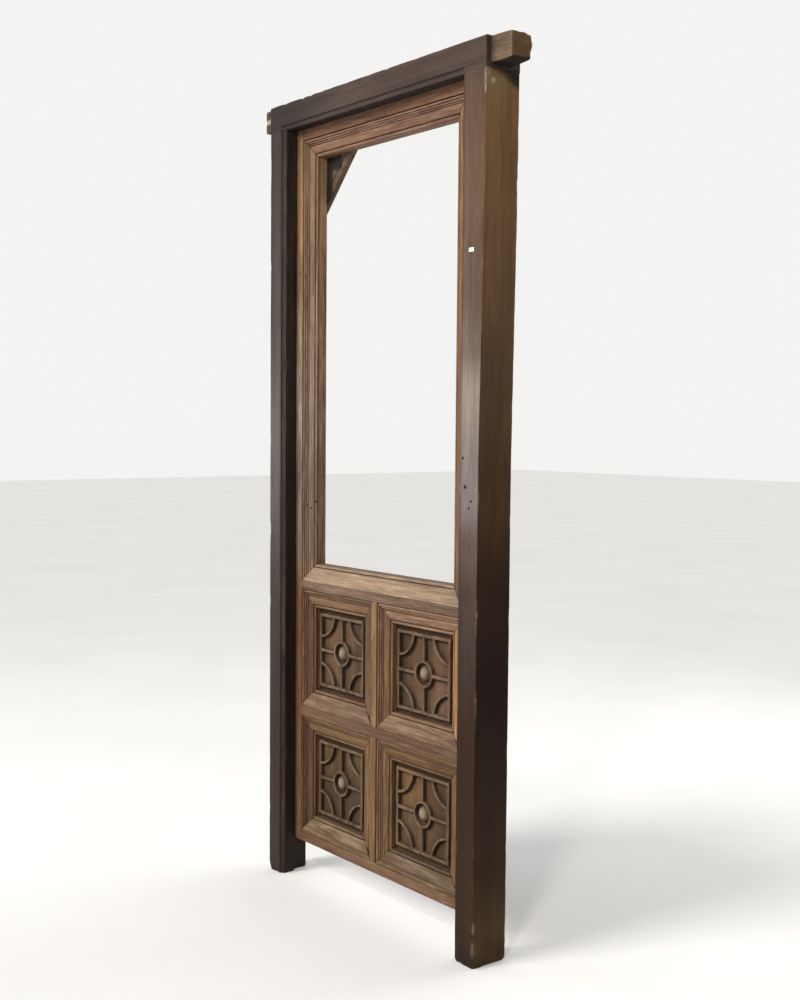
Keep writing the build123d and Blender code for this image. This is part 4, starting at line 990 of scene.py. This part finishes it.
    ta, tb = arc_len(A), arc_len(Bl)
    i = j = 0
    while i < len(A) or j < len(Bl):
        if j >= len(Bl) or (i < len(A) and ta[i + 1] <= tb[j + 1]):
            faces.append([A[(i + 1) % len(A)], A[i % len(A)], Bl[j % len(Bl)]])
            i += 1
        else:
            faces.append([Bl[j % len(Bl)], Bl[(j + 1) % len(Bl)], A[i % len(A)]])
            j += 1
    at = {"wear": np.concatenate([np.clip(wear_and_highlight * 1.5, 0, 1).ravel(), np.zeros(len(bv))]),
          "dirt": np.concatenate([painted_shade.ravel(), np.zeros(len(bv))])}
    ob = add_mesh(f"{place}_carving", V, faces, at, sharp=60)
    put(ob, mat)
    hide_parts(f"{place}_panel")
    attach(ob, "leaf")
    return ob


def pocket_tint(rect, pocket_tone):
    """One pocket of each panel is recoloured: golden in three panels, darker in the upper right one, where it is
    painted shade.
    """
    x0, x1, z0, z1 = rect

    def f(M, c):
        plain = c
        x, y, z = M.split()
        carved = M.mapr(y, (GROUND_Y + 1.5) * 0.001, (GROUND_Y + 3.0) * 0.001, 1.0, 0.0)
        d1 = M.math("SUBTRACT", x, (x0 + 0.22 * (x1 - x0)) * 0.001)
        d2 = M.math("SUBTRACT", z, (z0 + 0.76 * (z1 - z0)) * 0.001)
        r = M.math("SQRT", M.math("ADD", M.math("MULTIPLY", d1, d1), M.math("MULTIPLY", d2, d2)))
        c = M.mix(M.mapr(r, 0.02, 0.11, 1.0, 0.0), c, M.mix(1.0, c, lin(*pocket_tone), "MULTIPLY"))
        n = M.noise(M.coords((1, 1, 1), (3.1, 0.2, 1.7)), 14.0, 3.0, 0.6)
        c = M.mix(M.mapr(n, 0.45, 0.7, 0.0, 0.6), c, M.mix(1.0, c, lin(1.25, 1.05, 0.9), "MULTIPLY"))
        # the boss is painted paler above and left of its centre: painted highlight
        e1 = M.math("SUBTRACT", x, 0.0005 * (x0 + x1) - 0.003)
        e2 = M.math("SUBTRACT", z, 0.0005 * (z0 + z1) + 0.004)
        q = M.math("SQRT", M.math("ADD", M.math("MULTIPLY", e1, e1), M.math("MULTIPLY", e2, e2)))
        c = M.mix(M.mapr(q, 0.006, 0.024, 0.85, 0.0), c, lin(0.215, 0.172, 0.118))
        return M.mix(carved, plain, c)

    return f


# the upper_right pocket tone darkens its pocket: painted shade
x_tone = {"upper_left": (1.12, 1.12, 0.95), "upper_right": (0.76, 0.73, 0.6), "lower_left": (1.3, 1.3, 1.0), "lower_right": (1.2, 1.15, 0.9)}
PANEL_TONE = {"upper_left": (0.97, 0.95, 0.92), "upper_right": (1.12, 1.04, 0.98), "lower_left": (1.06, 1.02, 0.88), "lower_right": (1.02, 0.97, 0.82)}
for i, (place, rect) in enumerate(PANELS.items()):
    t = PANEL_TONE[place]
    mat = wood(f"{place}_carved_wood", "Z", 900 + i * 13, tuple(a * b for a, b in zip((0.052, 0.03, 0.0165), t)), tuple(a * b for a, b in zip((0.098, 0.06, 0.0345), t)),
               tuple(a * b for a, b in zip((0.16, 0.105, 0.062), t)), (0.2, 0.145, 0.1), (0.022, 0.0115, 0.006), rough=(0.55, 0.8), spec=0.14, blotch=0.8, bump=0.3, cracks=0.5, wear_gain=0.6, grain=0.45,
               tint=pocket_tint(rect, (x_tone[place])))
    carved_panel(place, rect, 700 + 17 * i, mat)


# ------------------------------------------------------------------ carried-over nodes
def soften(ob, width, angle=30, seg=2):
    w = ob.modifiers.new("weld", "WELD")
    w.merge_threshold = 0.00002
    b = ob.modifiers.new("bevel", "BEVEL")
    b.width = width
    b.segments = seg
    b.limit_method = "ANGLE"
    b.angle_limit = math.radians(angle)
    b.harden_normals = False


def stile_tint(M, c):
    """The left stile's flat is paler and greyer towards the middle of its height: a painted sheen."""
    sn = own_normal(M)
    side = M.mix(1.0, c, lin(0.92, 0.98, 1.04), "MULTIPLY")
    c = left_tint(M, c)
    return M.mix(M.mapr(sn.outputs[0], 0.72, 0.9), stile_front(M, c), side)


def stile_front(M, c):
    # paler and greyer from about 1.1 to 1.9 m: painted sheen
    return by_height(M, c, [(0.1, (0.6, 0.54, 0.5)), (0.95, (0.62, 0.56, 0.52)), (1.06, (0.85, 0.95, 1.1)), (1.34, (0.84, 1.05, 1.4)), (1.8, (1.2, 1.35, 1.5)), (2.25, (1.08, 1.03, 0.92)), (2.5, (1.0, 1.0, 1.0))])


MEMBERS = {
    "hinge_stile": ("Z", 61, dict(tone=(1.3, 1.25, 1.15), holes=LEFT_HOLES, tint=stile_tint)),
    "lock_stile": ("Z", 62, dict(tone=(1.0, 0.88, 0.75))),
    "top_rail": ("X", 63, dict(tone=(0.88, 0.75, 0.72))),
    "lock_rail": ("X", 64, dict(tone=(0.84, 0.92, 1.04))),
    "middle_rail": ("X", 65, dict(tone=(0.8, 0.76, 0.74))),
    "bottom_rail": ("X", 66, dict(tone=(0.72, 0.7, 0.64))),
    "upper_muntin": ("Z", 67, dict(tone=(1.02, 0.98, 0.75))),
    "lower_muntin": ("Z", 68, dict(tone=(0.95, 0.9, 0.7))),
}
for nname, (axis, sd, kw) in MEMBERS.items():
    ob = NODES[nname]
    put(ob, leaf_wood(nname + "_wood", axis, sd, **kw))
    soften(ob, 0.0009)

brace = NODES["corner_brace"]


def brace_tint(M, c):
    """The corner of the brace behind the leaf is painted nearly black on its front face: painted shadow of the leaf's
    frame.
    """
    x, y, z = M.split()
    a = M.math("MULTIPLY", M.mapr(x, -0.292, -0.278, 1.0, 0.0), M.mapr(z, 2.372, 2.386, 0.0, 1.0))
    e = M.mapr(x, -0.342, -0.333, 1.0, 0.0)
    front = M.mapr(y, 0.116, 0.119, 1.0, 0.0)
    return M.mix(M.math("MULTIPLY", M.math("MULTIPLY", M.math("MAXIMUM", a, e), 0.93), front), c, lin(0.008, 0.006, 0.004))


put(brace, leaf_wood("corner_brace_wood", "X", 71, tone=(0.62, 0.68, 0.72), tint=brace_tint))
soften(brace, 0.0015)

put(NODES["leaf_pegs"], wood("leaf_peg_wood", "Y", 81, (0.06, 0.038, 0.022), (0.11, 0.07, 0.042), (0.17, 0.11, 0.07), (0.2, 0.15, 0.1), (0.02, 0.012, 0.008)))
put(NODES["frame_pegs"], wood("frame_peg_wood", "Y", 82, (0.03, 0.02, 0.014), (0.06, 0.042, 0.03), (0.1, 0.075, 0.055), (0.2, 0.15, 0.1), (0.012, 0.009, 0.007)))


def rusty(name, seed):
    M = Mat(name)
    v = M.coords((1, 1, 1), (seed, seed * 0.3, -seed))
    n1 = M.noise(v, 90.0, 6.0, 0.65)
    n2 = M.noise(v, 420.0, 4.0, 0.6)
    n3 = M.noise(v, 22.0, 3.0, 0.5)
    col = M.mix(M.mapr(n1, 0.38, 0.66), lin(0.028, 0.024, 0.022), lin(0.13, 0.055, 0.025))
    col = M.mix(M.mapr(n2, 0.55, 0.75, 0.0, 0.7), col, lin(0.22, 0.1, 0.045))
    col = M.mix(M.mapr(n3, 0.5, 0.72, 0.0, 0.6), col, lin(0.02, 0.017, 0.016))
    M.link(col, M.bsdf.inputs["Base Color"])
    M.bsdf.inputs["Metallic"].default_value = 0.55
    M.link(M.mapr(n1, 0.3, 0.7, 0.5, 0.9), M.bsdf.inputs["Roughness"])
    bp = M.add("ShaderNodeBump")
    bp.inputs["Strength"].default_value = 0.5
    bp.inputs["Distance"].default_value = 0.0004
    M.link(M.math("ADD", n1, M.math("MULTIPLY", n2, 0.5)), bp.inputs["Height"])
    M.link(bp.outputs["Normal"], M.bsdf.inputs["Normal"])
    return M.m


iron = rusty("old_iron", 3.3)
for nname in NODES:
    if "hinge_" in nname and nname != "hinge_stile" or nname == "brace_nails":
        put(NODES[nname], iron)
        if nname.endswith("_half") or nname.endswith("_pin"):
            soften(NODES[nname], 0.0004, 35)

label = Mat("label_paper")
lv = label.coords((1, 1, 1))
ln = label.noise(lv, 300.0, 4.0)
label.link(label.mix(label.mapr(ln, 0.4, 0.7), lin(0.82, 0.82, 0.8), lin(0.7, 0.69, 0.66)), label.bsdf.inputs["Base Color"])
label.bsdf.inputs["Roughness"].default_value = 0.6
put(NODES["blank_label"], label.m)

# ------------------------------------------------------------------ floor, light
bpy.ops.mesh.primitive_plane_add(size=60, location=(0, 0, 0))
floor = bpy.context.object
floor.name = "floor"
fm = Mat("floor_pale")
fn = fm.noise(fm.coords((1, 1, 1)), 1.2, 3.0)
fm.link(fm.mix(fm.mapr(fn, 0.3, 0.7), lin(0.80, 0.80, 0.795), lin(0.83, 0.83, 0.825)), fm.bsdf.inputs["Base Color"])
fm.bsdf.inputs["Roughness"].default_value = 0.9
fm.bsdf.inputs["Specular IOR Level"].default_value = 0.1
put(floor, fm.m)

world = bpy.data.worlds.new("studio")
world.use_nodes = True
wt = world.node_tree
wc = wt.nodes.new("ShaderNodeTexCoord")
dot = wt.nodes.new("ShaderNodeVectorMath")
dot.operation = "DOT_PRODUCT"
wt.links.new(wc.outputs["Generated"], dot.inputs[0])
dot.inputs[1].default_value = (-0.78, 0.62, 0.0)
soft = wt.nodes.new("ShaderNodeMapRange")
soft.interpolation_type = "SMOOTHSTEP"
wt.links.new(dot.outputs["Value"], soft.inputs["Value"])
for key, val in (("From Min", -0.3), ("From Max", 0.72), ("To Min", 0.26), ("To Max", 0.9)):
    soft.inputs[key].default_value = val
wt.nodes["Background"].inputs[0].default_value = (1.0, 0.995, 0.985, 1)
wt.links.new(soft.outputs["Result"], wt.nodes["Background"].inputs[1])
scene.world = world


def area(name, loc, target, size, power, colour=(1, 1, 1), size_y=None):
    d = bpy.data.lights.new(name, "AREA")
    d.energy = power
    d.color = colour
    d.size = size
    if size_y:
        d.shape = "RECTANGLE"
        d.size_y = size_y
    o = bpy.data.objects.new(name, d)
    scene.collection.objects.link(o)
    o.location = loc
    o.rotation_euler = (Vector(target) - Vector(loc)).to_track_quat("-Z", "Y").to_euler()
    return o


sun = bpy.data.lights.new("key", "SUN")
sun.energy = 2.9
sun.angle = math.radians(24)
sun.color = (1.0, 0.97, 0.93)
sun_ob = bpy.data.objects.new("key", sun)
scene.collection.objects.link(sun_ob)
sun_ob.rotation_euler = Vector((0.2, 0.85, -0.5)).to_track_quat("-Z", "Y").to_euler()
area("fill_right", (2.5, -2.9, 3.35), (0.5, 0, 2.2), 0.45, 75, (1.0, 0.95, 0.88))
area("sheen_left", (-3.6, -2.9, 1.6), (0, 0, 1.45), 1.2, 45, (0.97, 0.98, 1.0), 1.5)
area("back_soft", (0.5, 3.5, 2.8), (0, 0, 1.3), 2.5, 50, (1.0, 0.99, 0.97))

scene.view_settings.view_transform = "Standard"
scene.view_settings.look = "None"
